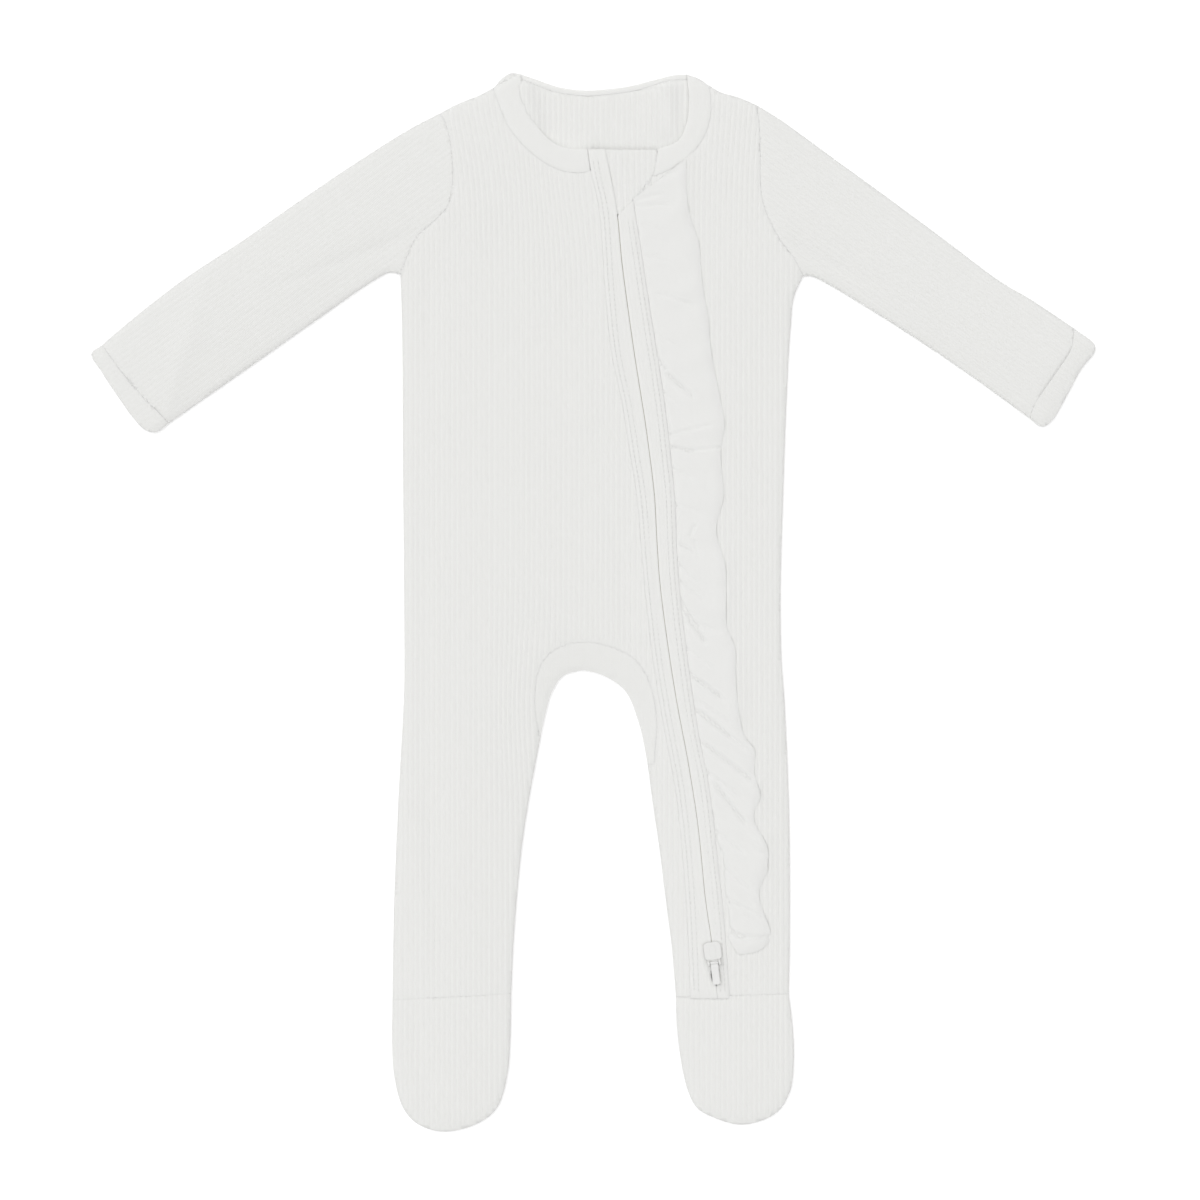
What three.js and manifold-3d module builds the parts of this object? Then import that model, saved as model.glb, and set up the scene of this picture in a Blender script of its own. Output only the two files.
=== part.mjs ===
// Footed baby sleepsuit in ribbed knit, laid flat on its back with the arms spread.
// X runs across the body, Y from the feet to the neck, Z up from the surface that it lies on.
// Right and left are the wearer's, so the right sleeve lies on the -X side.
import * as THREE from "three";
import { mergeVertices } from "three/addons/utils/BufferGeometryUtils.js";
import Module from "manifold-3d";

const wasm = await Module();
wasm.setup();

// Driving dimensions, in millimetres
const CLOTH = 1.2; // wall of the ribbed knit
const SEAM_GAP = 0.3; // space left between two pieces
const RIB_PITCH = 3;
const RIB_HEIGHT = 0.5;
const LOFT = 2.4; // how far the front lifts off the back
const LOFT_REACH = 18; // distance from the edge over which it lifts
const HEM_DEPTH = 3; // back neck binding as it shows
const BINDING_THICKNESS = 1.8;
const TAPE_THICKNESS = 0.8;
const ZIP_HALF_GAP = 0.8; // half the slot between the two plackets
const PULL_RECESS = 3.6; // how far that slot widens beside the pull
const PLACKET_THICKNESS = 1.4;
const RUFFLE_THICKNESS = 1;
const CUFF_EXTRA = 0.3; // the cuff's cloth is a little thicker
const SLIDER = { width: 10, length: 10.5, thickness: 1.4, corner: 2.2 };
const PULL = { width: 5, length: 12.5, thickness: 1, barrel: 0.8, pin: 0.45, pinHole: 0.75 };
const LUG = { width: 1.3, radius: 1.6, reach: 2.4 };

// Surfaces
const KNIT_COLOUR = 0xe9e9e6;
const BINDING_COLOUR = 0xebebe8;
const TAPE_COLOUR = 0xc9c6b8;
const METAL_COLOUR = 0xdcdcd8;
const FAR = 14; // higher than any cloth, for the walls that cut a panel out

// Outlines seen from above. Columns of each table: x, y. Each curve runs from the neck
// towards the feet or the hands, or from right to left.
const SHOULDER_RIGHT = [[-57, 291.5], [-64.5, 287.5], [-77, 282.4], [-87, 277.3]];
const SHOULDER_LEFT = [[65.5, 293], [72, 289.2], [82, 286.3], [92.7, 281.8]];
const ARMHOLE_RIGHT = [
  [-87, 277.3], [-83.6, 270.5], [-80.4, 256.3], [-80.2, 235.3], [-82.8, 224], [-91, 215],
  [-100, 207], [-105.5, 196], [-109.5, 186],
];
const ARMHOLE_LEFT = [
  [92.7, 281.8], [93.8, 272], [94.4, 256], [94.4, 239], [95.5, 228], [99, 217.7],
  [104.6, 207], [113, 195.6], [119, 185],
];
const SIDE_RIGHT = [
  [-109.5, 186], [-108.6, 157.6], [-108, 76], [-107.4, 1], [-107.4, -50], [-110.3, -105.5],
  [-113, -169], [-114, -225.5],
];
const SIDE_LEFT = [
  [119, 185], [113.9, 173.5], [112, 157.6], [109.8, 120], [107.6, 60], [106.2, 10],
  [106.6, -30], [108.6, -60], [111, -120], [111.4, -190], [110.8, -222],
];
const TOE_RIGHT = [
  [-114, -225.5], [-114.2, -250], [-113, -269], [-108, -287], [-100, -296], [-85.3, -300.5],
  [-66, -296], [-54.7, -287], [-49, -269], [-47.3, -250], [-46.7, -222],
];
const TOE_LEFT = [
  [110.8, -222], [113, -241], [113.7, -260], [111.4, -278], [103.5, -290], [85, -296.5],
  [69.5, -293], [58.7, -287], [53.5, -277], [49.6, -260], [47.3, -240], [46.8, -224],
];
const INSEAM_RIGHT = [
  [-6, -38.6], [-17.3, -42], [-23.5, -51], [-26.4, -60], [-32, -87], [-37, -114.5],
  [-41, -142], [-45, -187], [-46.7, -222],
];
const INSEAM_LEFT = [
  [-6, -38.6], [4.8, -41.4], [18, -50.5], [25.8, -69], [29.8, -87], [33.7, -114.5],
  [37.7, -142], [41, -169], [44.5, -196], [46.8, -224],
];
const SLEEVE_TOP_RIGHT = [
  [-87, 277.3], [-104.6, 268], [-132.4, 250.6], [-166, 228], [-199, 205], [-233, 182.6],
  [-265, 157.6], [-279, 145.6],
];
const SLEEVE_TOP_LEFT = [
  [92.7, 281.8], [106.3, 273.3], [137.5, 250.6], [168.7, 228], [199.3, 205.3], [230.5, 182],
  [249, 171], [272.5, 155.3],
];
const UNDERARM_RIGHT = [
  [-109.5, 186], [-115.4, 187.1], [-124.5, 182.6], [-160.7, 157.6], [-200, 130], [-241, 101.4],
];
const UNDERARM_LEFT = [
  [119, 185], [124, 184.8], [132, 181], [171.5, 157], [212, 130], [247.5, 104.3],
];
const CUFF_SEAM_RIGHT = [[-279, 145.6], [-272.5, 137], [-260, 121.5], [-247, 107.7], [-241, 101.4]];
const CUFF_SEAM_LEFT = [[272.5, 155.3], [271, 144], [260.5, 127.5], [250.3, 112.3], [247.5, 104.3]];
const CUFF_END_RIGHT = [
  [-279, 145.6], [-284.9, 140.8], [-279, 130.4], [-270, 116.8], [-260, 103], [-254.3, 97.5],
  [-248, 96.4], [-241, 101.4],
];
const CUFF_END_LEFT = [
  [272.5, 155.3], [284.9, 144.4], [276.4, 131.5], [268.5, 116.8], [260.5, 103.2], [254.9, 99.4],
  [247.5, 104.3],
];
const NECK_TOP_RIGHT = [[-57, 291.5], [-51.5, 297.7], [-46.5, 300.4], [-41.5, 299.6]];
const NECK_TOP_LEFT = [[65.5, 293], [62, 295.8], [58, 298], [53, 299.3]];
const NECK_BACK = [
  [-41.5, 299.6], [-32.5, 296.5], [-19, 292], [-5.5, 290.3], [8, 291], [22, 293], [35.5, 296.5],
  [47, 299.2], [53, 299.3],
];
const BINDING_OUTER_RIGHT = [
  [-57, 291.5], [-52.5, 279], [-48.5, 270], [-41.7, 260.8], [-30.3, 250.6], [-20, 245],
  [-9.4, 243], [-1.6, 244],
];
const BINDING_INNER_RIGHT = [
  [-41.5, 299.6], [-40, 286], [-33, 271], [-23, 260.3], [-15, 257], [-3.1, 256.3],
];
const BINDING_OUTER_LEFT = [
  [65.5, 293], [66.6, 283], [66, 274], [62.7, 264], [54, 252], [43, 245], [33, 240.5],
];
const BINDING_INNER_LEFT = [[53, 299.3], [54.2, 283], [52.4, 270], [48, 261.4], [36, 256.3]];
const PLACKET_EDGE_RIGHT = [
  [-3.1, 256.3], [-1.4, 244], [3.2, 223], [5, 202], [6.6, 177.5], [10.4, 141], [16.6, 111],
  [20.7, 85], [24.7, 59.5], [27.5, 26], [30.3, -3.4], [33.8, -33], [40.4, -73], [46, -103],
  [50, -137], [53, -178], [55, -224],
];
const PLACKET_EDGE_LEFT = [
  [22.4, 228], [26.4, 203], [29.8, 180], [34, 153], [37.7, 130], [41.2, 105], [43.4, 85],
  [46, 59.5], [46.9, 35.7], [48.4, 11.3], [52, -22], [59.2, -73], [65.2, -103], [70, -144],
  [74, -182], [77, -224],
];
const ZIP_LINE = [
  [6.5, 256.3], [9.9, 240.4], [13.3, 221], [16.2, 191.6], [19.6, 165.6], [24, 135], [28.8, 105],
  [31.6, 85], [34.6, 59.5], [35.9, 35.7], [37.6, 11.3], [41.7, -21.5], [47.2, -56.7],
  [53.4, -89.6], [59.3, -127.6], [63.4, -168], [67.2, -194.5], [70.2, -224],
];
const CHIN_GUARD_EDGE = [[35.5, 256.3], [33.5, 246], [31.2, 239], [26, 232], [20, 226], [15, 219.6]];
const GUSSET_EDGE = [
  [-31.5, -76], [-33.4, -55], [-30.5, -36], [-22.5, -27], [-12, -23], [0.3, -22.6], [17.3, -28.3],
  [27, -36.3], [33, -48.2], [36, -64], [35, -92],
];
const RUFFLE_EDGE = [
  [52.4, 250.6], [53.4, 224], [59.6, 203], [61.5, 181], [65, 160], [66.4, 143], [70.5, 121],
  [74, 101], [72, 84], [73.6, 60], [69.4, 41], [74.6, 20], [75.6, -14], [80, -26], [80.6, -46],
  [84.8, -74], [91.2, -84], [91, -97], [94.6, -109], [90.6, -122], [98.2, -138], [98.6, -151],
  [93.6, -165], [98.8, -182], [100.4, -190], [94, -197.4], [82, -199.8],
];
const RUFFLE_ROOT_END = [73.6, -186];

// Gathers of the ruffle. Columns: y of the crest, how high its free edge lifts.
const RUFFLE_CRESTS = [
  { y: 246, lift: 1.2 }, { y: 226, lift: 2.2 }, { y: 203, lift: 1.4 }, { y: 181, lift: 2.4 },
  { y: 160, lift: 1.6 }, { y: 141, lift: 2.6 }, { y: 121, lift: 2 }, { y: 101, lift: 3 },
  { y: 82, lift: 1.5 }, { y: 60, lift: 2.2 }, { y: 40, lift: 2.8 }, { y: 20, lift: 1.8 },
  { y: -4, lift: 2.6 }, { y: -24, lift: 2 }, { y: -46, lift: 1.6 }, { y: -68, lift: 2.4 },
  { y: -84, lift: 3.2 }, { y: -97, lift: 1.8 }, { y: -109, lift: 2.8 }, { y: -124, lift: 1.6 },
  { y: -139, lift: 3 }, { y: -152, lift: 1.8 }, { y: -167, lift: 2.4 }, { y: -183, lift: 3 },
  { y: -198, lift: 1.4 },
];

// Largest folds of the cloth. Columns: start, end, half width, height (a trough is negative).
const FOLDS = [
  { from: [-94, 176], to: [-96, 128], width: 9, height: -0.9 },
  { from: [-80, 262], to: [-66, 214], width: 12, height: 0.8 },
  { from: [-98, 20], to: [-95, -120], width: 10, height: -0.7 },
  { from: [2, 166], to: [-4, 110], width: 10, height: 0.7 },
  { from: [15, 34], to: [18, -20], width: 9, height: -0.6 },
  { from: [-92, -130], to: [-86, -196], width: 9, height: -0.8 },
  { from: [-99, -240], to: [-90, -285], width: 10, height: -0.8 },
  { from: [118, 205], to: [140, 190], width: 10, height: -0.8 },
  { from: [-160, 172], to: [-120, 196], width: 9, height: -0.9 },
  { from: [-222, 176], to: [-240, 112], width: 10, height: 0.8 },
  { from: [98, 150], to: [95, 60], width: 9, height: -0.7 },
  { from: [98, -60], to: [99, -150], width: 9, height: 0.7 },
  { from: [60, -244], to: [98, -250], width: 9, height: -0.6 },
];

// Curves and lines

/** A smooth line through the points of a table, cut into steps of about one length. */
function trace(table, step) {
  const curve = new THREE.CatmullRomCurve3(
    table.map(([x, y]) => new THREE.Vector3(x, y, 0)), false, "centripetal",
  );
  const steps = Math.max(2, Math.round(curve.getLength() / step));
  return curve.getSpacedPoints(steps).map((p) => new THREE.Vector2(p.x, p.y));
}

/** The same smooth line cut into a given number of steps. */
function traceSteps(table, steps) {
  const curve = new THREE.CatmullRomCurve3(
    table.map(([x, y]) => new THREE.Vector3(x, y, 0)), false, "centripetal",
  );
  return curve.getSpacedPoints(steps).map((p) => new THREE.Vector2(p.x, p.y));
}

/** A line moved sideways, to the left of its own direction where the distance is positive. */
function shifted(line, distance) {
  return line.map((point, i) => {
    const before = line[Math.max(0, i - 1)];
    const after = line[Math.min(line.length - 1, i + 1)];
    const along = after.clone().sub(before).normalize();
    return new THREE.Vector2(point.x - along.y * distance, point.y + along.x * distance);
  });
}

/** The x at which a line that only falls or only rises passes a height y. */
function xAt(line, y) {
  for (let i = 0; i + 1 < line.length; i += 1) {
    const [a, b] = [line[i], line[i + 1]];
    if ((a.y - y) * (b.y - y) <= 0 && a.y !== b.y) {
      return a.x + ((b.x - a.x) * (y - a.y)) / (b.y - a.y);
    }
  }
  return Math.abs(line[0].y - y) < Math.abs(line.at(-1).y - y) ? line[0].x : line.at(-1).x;
}

/** The stretch of such a line between two heights, with an end point on each. */
function between(line, fromY, toY) {
  const low = Math.min(fromY, toY);
  const high = Math.max(fromY, toY);
  const clear = 1;
  const inner = line.filter((p) => p.y > low + clear && p.y < high - clear);
  const falling = line[0].y > line.at(-1).y;
  const kept = falling === fromY > toY ? inner : inner.slice().reverse();
  return [new THREE.Vector2(xAt(line, fromY), fromY), ...kept, new THREE.Vector2(xAt(line, toY), toY)];
}

/** One closed loop out of lines that follow each other, with doubled points left out. */
function joined(...lines) {
  const same = 0.4;
  const loop = [];
  for (const point of lines.flat()) {
    if (!loop.length || loop.at(-1).distanceTo(point) > same) loop.push(point);
  }
  if (loop[0].distanceTo(loop.at(-1)) < same) loop.pop();
  return loop;
}

const back = (line) => line.slice().reverse();

// The garment's lines
const OUTLINE_STEP = 9;
const GUSSET_STEPS = 20;
const LONG_STEP = 24;
const shoulderRight = trace(SHOULDER_RIGHT, OUTLINE_STEP);
const shoulderLeft = trace(SHOULDER_LEFT, OUTLINE_STEP);
const armholeRight = trace(ARMHOLE_RIGHT, OUTLINE_STEP);
const armholeLeft = trace(ARMHOLE_LEFT, OUTLINE_STEP);
const sideRight = trace(SIDE_RIGHT, LONG_STEP);
const sideLeft = trace(SIDE_LEFT, LONG_STEP);
const toeRight = trace(TOE_RIGHT, OUTLINE_STEP);
const toeLeft = trace(TOE_LEFT, OUTLINE_STEP);
const inseamRight = trace(INSEAM_RIGHT, OUTLINE_STEP);
const inseamLeft = trace(INSEAM_LEFT, OUTLINE_STEP);
const sleeveTopRight = trace(SLEEVE_TOP_RIGHT, LONG_STEP);
const sleeveTopLeft = trace(SLEEVE_TOP_LEFT, LONG_STEP);
const underarmRight = trace(UNDERARM_RIGHT, OUTLINE_STEP);
const underarmLeft = trace(UNDERARM_LEFT, OUTLINE_STEP);
const cuffSeamRight = trace(CUFF_SEAM_RIGHT, OUTLINE_STEP);
const cuffSeamLeft = trace(CUFF_SEAM_LEFT, OUTLINE_STEP);
const cuffEndRight = trace(CUFF_END_RIGHT, OUTLINE_STEP / 2);
const cuffEndLeft = trace(CUFF_END_LEFT, OUTLINE_STEP / 2);
const neckTopRight = trace(NECK_TOP_RIGHT, OUTLINE_STEP / 2);
const neckTopLeft = trace(NECK_TOP_LEFT, OUTLINE_STEP / 2);
const neckBack = trace(NECK_BACK, OUTLINE_STEP * 0.7);
const placketEdgeRight = trace(PLACKET_EDGE_RIGHT, LONG_STEP);
const placketEdgeLeft = trace(PLACKET_EDGE_LEFT, LONG_STEP);
const zipLine = trace(ZIP_LINE, LONG_STEP);
const bindingOuterRight = trace(BINDING_OUTER_RIGHT, OUTLINE_STEP);
const bindingOuterLeft = trace(BINDING_OUTER_LEFT, OUTLINE_STEP);
const gussetEdge = traceSteps(GUSSET_EDGE, GUSSET_STEPS);

const silhouette = joined(
  neckBack, back(neckTopLeft), shoulderLeft, sleeveTopLeft, cuffEndLeft, back(underarmLeft),
  sideLeft, toeLeft, back(inseamLeft), inseamRight, back(toeRight), back(sideRight),
  underarmRight, back(cuffEndRight), back(sleeveTopRight), back(shoulderRight), neckTopRight,
);

/** How far a point lies inside the garment's outline, 0 outside it. */
function depthInside(x, y) {
  let nearest = Infinity;
  let inside = false;
  for (let i = 0; i < silhouette.length; i += 1) {
    const a = silhouette[i];
    const b = silhouette[(i + 1) % silhouette.length];
    const [dx, dy] = [b.x - a.x, b.y - a.y];
    const t = THREE.MathUtils.clamp(((x - a.x) * dx + (y - a.y) * dy) / (dx * dx + dy * dy), 0, 1);
    nearest = Math.min(nearest, Math.hypot(x - a.x - t * dx, y - a.y - t * dy));
    if (a.y > y !== b.y > y && x < a.x + ((y - a.y) * dx) / dy) inside = !inside;
  }
  return inside ? nearest : 0;
}

/** Height that the folds add at a point: a rounded ridge along each fold, fading at its ends. */
function foldHeight(x, y) {
  return FOLDS.reduce((sum, fold) => {
    const [dx, dy] = [fold.to[0] - fold.from[0], fold.to[1] - fold.from[1]];
    const t = ((x - fold.from[0]) * dx + (y - fold.from[1]) * dy) / (dx * dx + dy * dy);
    const off = Math.hypot(x - fold.from[0] - t * dx, y - fold.from[1] - t * dy) / fold.width;
    const ends = Math.max(0, Math.abs(t - 0.5) - 0.5) * 4;
    return sum + fold.height * Math.exp(-off * off - ends * ends);
  }, 0);
}

/** Inner face of the front: just over the back at the edges, lifted and folded inside. */
function inside(x, y) {
  const lift = 1 - Math.exp(-depthInside(x, y) / LOFT_REACH);
  return CLOTH + SEAM_GAP + (LOFT + foldHeight(x, y)) * lift;
}

// Solids

/** A closed mesh as a solid that can be joined and cut. */
function solidOf(geometry) {
  const bare = geometry.clone();
  bare.deleteAttribute("normal");
  bare.deleteAttribute("uv");
  const merged = mergeVertices(bare, 1e-4);
  return new wasm.Manifold(new wasm.Mesh({
    numProp: 3,
    vertProperties: new Float32Array(merged.attributes.position.array),
    triVerts: new Uint32Array(merged.index.array),
  }));
}

/** A solid's triangles as a three.js geometry, with slivers below a hundredth dropped. */
function geometryOf(solid) {
  const mesh = solid.simplify(0.01).getMesh();
  const geometry = new THREE.BufferGeometry();
  geometry.setAttribute("position", new THREE.BufferAttribute(new Float32Array(mesh.vertProperties), 3));
  geometry.setIndex(new THREE.BufferAttribute(new Uint32Array(mesh.triVerts), 1));
  return geometry;
}

/** An outline pushed up from one height to another. */
function prism(loop, low, high) {
  const geometry = new THREE.ExtrudeGeometry(
    new THREE.Shape(loop), { depth: high - low, bevelEnabled: false },
  );
  return solidOf(geometry.translate(0, 0, low));
}

/**
 * A closed body between an upper and a lower grid of points. upper and lower are lists of
 * rows of Vector3 with the same counts, seen from above with x growing along a row and y
 * falling from row to row.
 */
function sheetGeometry(upper, lower) {
  const rows = upper.length;
  const columns = upper[0].length;
  const positions = [...upper.flat(), ...lower.flat()].flatMap((p) => [p.x, p.y, p.z]);
  const top = (r, c) => r * columns + c;
  const under = (r, c) => rows * columns + r * columns + c;
  const index = [];
  const quad = (a, b, c, d) => index.push(a, b, c, a, c, d);
  for (let r = 0; r + 1 < rows; r += 1) {
    for (let c = 0; c + 1 < columns; c += 1) {
      quad(top(r, c), top(r + 1, c), top(r + 1, c + 1), top(r, c + 1));
      quad(under(r, c), under(r, c + 1), under(r + 1, c + 1), under(r + 1, c));
    }
    quad(top(r, 0), under(r, 0), under(r + 1, 0), top(r + 1, 0));
    quad(top(r + 1, columns - 1), under(r + 1, columns - 1), under(r, columns - 1), top(r, columns - 1));
  }
  for (let c = 0; c + 1 < columns; c += 1) {
    quad(top(0, c + 1), under(0, c + 1), under(0, c), top(0, c));
    quad(top(rows - 1, c), under(rows - 1, c), under(rows - 1, c + 1), top(rows - 1, c + 1));
  }
  const geometry = new THREE.BufferGeometry();
  geometry.setAttribute("position", new THREE.Float32BufferAttribute(positions, 3));
  geometry.setIndex(index);
  return geometry;
}

/** A block with a worked surface on top and a flat base, its columns turned by an angle. */
function block(columns, rows, turn, base, height) {
  const [cos, sin] = [Math.cos(turn), Math.sin(turn)];
  const grid = rows.map((v) => columns.map((u, i) => {
    const [x, y] = [u * cos - v * sin, u * sin + v * cos];
    return new THREE.Vector3(x, y, height(x, y, i));
  }));
  const flat = grid.map((row) => row.map((p) => new THREE.Vector3(p.x, p.y, base)));
  return solidOf(sheetGeometry(grid, flat));
}

/** Values from a start, each one step further on, up to an end. */
function steps(start, end, step) {
  const count = Math.ceil(Math.abs(end - start) / step);
  return Array.from({ length: count + 1 }, (_, i) => start + Math.sign(end - start) * step * i);
}

/** Extent of a loop along and across ribs that are turned by an angle. */
function extent(loop, turn) {
  const [cos, sin] = [Math.cos(turn), Math.sin(turn)];
  const across = loop.map((p) => p.x * cos + p.y * sin);
  const along = loop.map((p) => -p.x * sin + p.y * cos);
  return {
    across: [Math.min(...across), Math.max(...across)],
    along: [Math.min(...along), Math.max(...along)],
  };
}

/** The ribbed upper part of a panel over a base height: crests and furrows in turn. */
function ribbedBlock(loop, turn, rowStep, base, cloth) {
  const size = extent(loop, turn);
  const margin = 2.13;
  const columns = steps(size.across[0] - margin, size.across[1] + margin, RIB_PITCH / 2);
  const rows = steps(size.along[1] + margin, size.along[0] - rowStep, rowStep);
  const rib = (i) => (i % 2 ? RIB_HEIGHT : 0);
  return block(columns, rows, turn, base, (x, y, i) => inside(x, y) + cloth + rib(i));
}

/** The plain space under a panel, in coarser columns on the same rows. */
function plainBlock(loop, turn, rowStep, base) {
  const size = extent(loop, turn);
  const margin = 2.13;
  const columnStep = RIB_PITCH * 2.5;
  const start = size.across[0] - margin;
  const columns = steps(start - columnStep, size.across[1] + columnStep, columnStep);
  const rows = steps(size.along[1] + margin, size.along[0] - rowStep * 2, rowStep);
  return block(columns, rows, turn, base, (x, y) => inside(x, y));
}

/** A ribbed panel of the front: a wall of one cloth thickness, plain on its inner face. */
function frontPanel(loop, turn, rowStep) {
  const wall = ribbedBlock(loop, turn, rowStep, 0, CLOTH).subtract(plainBlock(loop, turn, rowStep, -1));
  return geometryOf(wall.intersect(prism(loop, 0.1, FAR)));
}

/** A flattened ribbed tube: flat underneath, lifted on top, its hollow open at both ends. */
function flatTube(loop, hollowLoop, turn, rowStep, cloth) {
  const outer = ribbedBlock(loop, turn, rowStep, 0, cloth).intersect(prism(loop, -1, FAR));
  const hollow = plainBlock(hollowLoop, turn, rowStep, CLOTH).intersect(prism(hollowLoop, 0, FAR));
  return geometryOf(outer.subtract(hollow));
}

/**
 * A strip ruled between two lines with the same number of points. low and high give the
 * heights of its faces from x, y, the share across it and the place along it.
 */
function strip(lineA, lineB, across, low, high) {
  const grid = (height) => lineA.map((a, r) => Array.from({ length: across + 1 }, (_, c) => {
    const share = c / across;
    const p = a.clone().lerp(lineB[r], share);
    return new THREE.Vector3(p.x, p.y, height(p.x, p.y, share, r / (lineA.length - 1)));
  }));
  return sheetGeometry(grid(high), grid(low));
}

const object = new THREE.Group();

/** Adds one named piece with its own material. */
function add(name, geometry, colour, roughness = 0.95, metalness = 0) {
  const material = new THREE.MeshStandardMaterial({ color: colour, roughness, metalness });
  const mesh = new THREE.Mesh(geometry, material);
  mesh.name = name;
  object.add(mesh);
}

// Back of the body and the soles, flat on the surface
const BACK_INSET = HEM_DEPTH + SEAM_GAP;
const backNeckLine = shifted(neckBack, -BACK_INSET);
const ankleRight = [new THREE.Vector2(-114, -225.5), new THREE.Vector2(-46.7, -222)];
const ankleLeft = [new THREE.Vector2(46.8, -224), new THREE.Vector2(110.8, -222)];
const raised = (line, distance) => line.map((p) => new THREE.Vector2(p.x, p.y + distance));
const HALF_GAP = SEAM_GAP / 2;

function backPanel() {
  const loop = joined(
    neckTopRight, backNeckLine, back(neckTopLeft), shoulderLeft, armholeLeft,
    between(sideLeft, 185, -222 + HALF_GAP), back(raised(ankleLeft, HALF_GAP)),
    back(between(inseamLeft, -38.6, -224 + HALF_GAP)), between(inseamRight, -38.6, -222 + HALF_GAP),
    back(raised(ankleRight, HALF_GAP)), back(between(sideRight, 186, -225.5 + HALF_GAP)),
    back(armholeRight), back(shoulderRight),
  );
  const clear = 0.6;
  const neckWindow = joined(
    shifted(trace(BINDING_INNER_RIGHT, OUTLINE_STEP), clear),
    back(shifted(trace(BINDING_INNER_LEFT, OUTLINE_STEP), -clear)),
    back(shifted(backNeckLine, -clear).slice(1, -1)),
  );
  const size = extent(neckWindow, 0);
  const columns = steps(size.across[0] - 1, size.across[1] + 1, RIB_PITCH / 2);
  const ribs = block(columns, [size.along[1] + 1, size.along[0] - 1], 0, CLOTH / 2,
    (x, y, i) => CLOTH + (i % 2 ? RIB_HEIGHT : 0.02));
  const plain = prism(loop, 0, CLOTH);
  return geometryOf(plain.add(ribs.intersect(prism(neckWindow, 0, FAR))));
}

add("back_panel", backPanel(), KNIT_COLOUR);

/** A foot's loop with its open end brought down to its side of the ankle seam. */
function belowAnkle(loop, ankle) {
  const [a, b] = ankle;
  return loop.map((p) => {
    const seam = a.y + ((b.y - a.y) * (p.x - a.x)) / (b.x - a.x) - HALF_GAP;
    return new THREE.Vector2(p.x, Math.min(p.y, seam));
  });
}

const footRightLoop = belowAnkle(joined(toeRight), ankleRight);
const footLeftLoop = belowAnkle(joined(toeLeft), ankleLeft);
add("right_sole", geometryOf(prism(footRightLoop, 0, CLOTH)), KNIT_COLOUR);
add("left_sole", geometryOf(prism(footLeftLoop, 0, CLOTH)), KNIT_COLOUR);

// Fronts of the body and of the feet
const FRONT_ROWS = 40;
const FOOT_ROWS = 20;
const GUARD_ROWS = 12;
const PLACKET_END = -223.2;
const gussetStart = gussetEdge[0].y;
const gussetEnd = gussetEdge.at(-1).y;
const gussetClear = 2;
const bandEnd = bindingOuterRight.at(-1).y - SEAM_GAP;

const frontRightLoop = joined(
  shoulderRight, armholeRight, between(sideRight, 186, -225.5 + HALF_GAP),
  raised(ankleRight, HALF_GAP),
  back(between(inseamRight, gussetStart - gussetClear, -222 + HALF_GAP)),
  shifted(gussetEdge, SEAM_GAP),
  between(inseamLeft, gussetEnd - gussetClear, -224 + HALF_GAP),
  back(shifted(between(placketEdgeRight, bandEnd, PLACKET_END), -SEAM_GAP)),
  back(shifted(bindingOuterRight, -SEAM_GAP)),
);
add("front_right", frontPanel(frontRightLoop, 0, FRONT_ROWS), KNIT_COLOUR);

const guardEdge = trace(CHIN_GUARD_EDGE, OUTLINE_STEP);
const frontLeftLoop = joined(
  back(shifted(between(placketEdgeLeft, 228, PLACKET_END), SEAM_GAP)),
  back(shifted(between(guardEdge, 239.5, 230), SEAM_GAP)),
  back(shifted(bindingOuterLeft, SEAM_GAP)), shoulderLeft, armholeLeft,
  between(sideLeft, 185, -222 + HALF_GAP),
);
add("front_left", frontPanel(frontLeftLoop, 0, FRONT_ROWS), KNIT_COLOUR);
add("right_foot_top", frontPanel(footRightLoop, 0, FOOT_ROWS), KNIT_COLOUR);
add("left_foot_top", frontPanel(footLeftLoop, 0, FOOT_ROWS), KNIT_COLOUR);

// Band set in around the crotch, plain
const resampled = (line, count) => traceSteps(line.map((p) => [p.x, p.y]), count);
const crotchLine = joined(
  back(between(inseamRight, -38.6, gussetStart)), between(inseamLeft, -38.6, gussetEnd),
);
add("crotch_gusset", strip(
  resampled(crotchLine, GUSSET_STEPS), gussetEdge, 2,
  (x, y) => inside(x, y), (x, y) => inside(x, y) + CLOTH + RIB_HEIGHT / 2,
), KNIT_COLOUR);

// Neck binding: two front arms that fold over the shoulders, and the back as it shows inside
const BINDING_STEPS = 14;
const bindingHigh = (x, y, share) => {
  const crown = 1 - 0.3 * (2 * share - 1) ** 2;
  return inside(x, y) + BINDING_THICKNESS * crown;
};
add("neck_binding_right", strip(
  resampled(bindingOuterRight, BINDING_STEPS), traceSteps(BINDING_INNER_RIGHT, BINDING_STEPS), 4,
  (x, y) => inside(x, y), bindingHigh,
), BINDING_COLOUR);
add("neck_binding_left", strip(
  traceSteps(BINDING_INNER_LEFT, BINDING_STEPS), resampled(bindingOuterLeft, BINDING_STEPS), 4,
  (x, y) => inside(x, y), bindingHigh,
), BINDING_COLOUR);
const backBinding = neckBack.filter((p) => p.x > -39 && p.x < 51);
add("neck_binding_back", strip(
  shifted(backBinding, -HEM_DEPTH), backBinding, 2,
  () => 0, () => BINDING_THICKNESS,
), BINDING_COLOUR);

// Zip: tape, the two plackets that cover it, and the guard under the chin
const ZIP_TOP = 219;
const TAPE_END = -202;
const TAPE_MARGIN = 0.6;
const RECESS = { from: -205.5, to: -217.5 };

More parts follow.
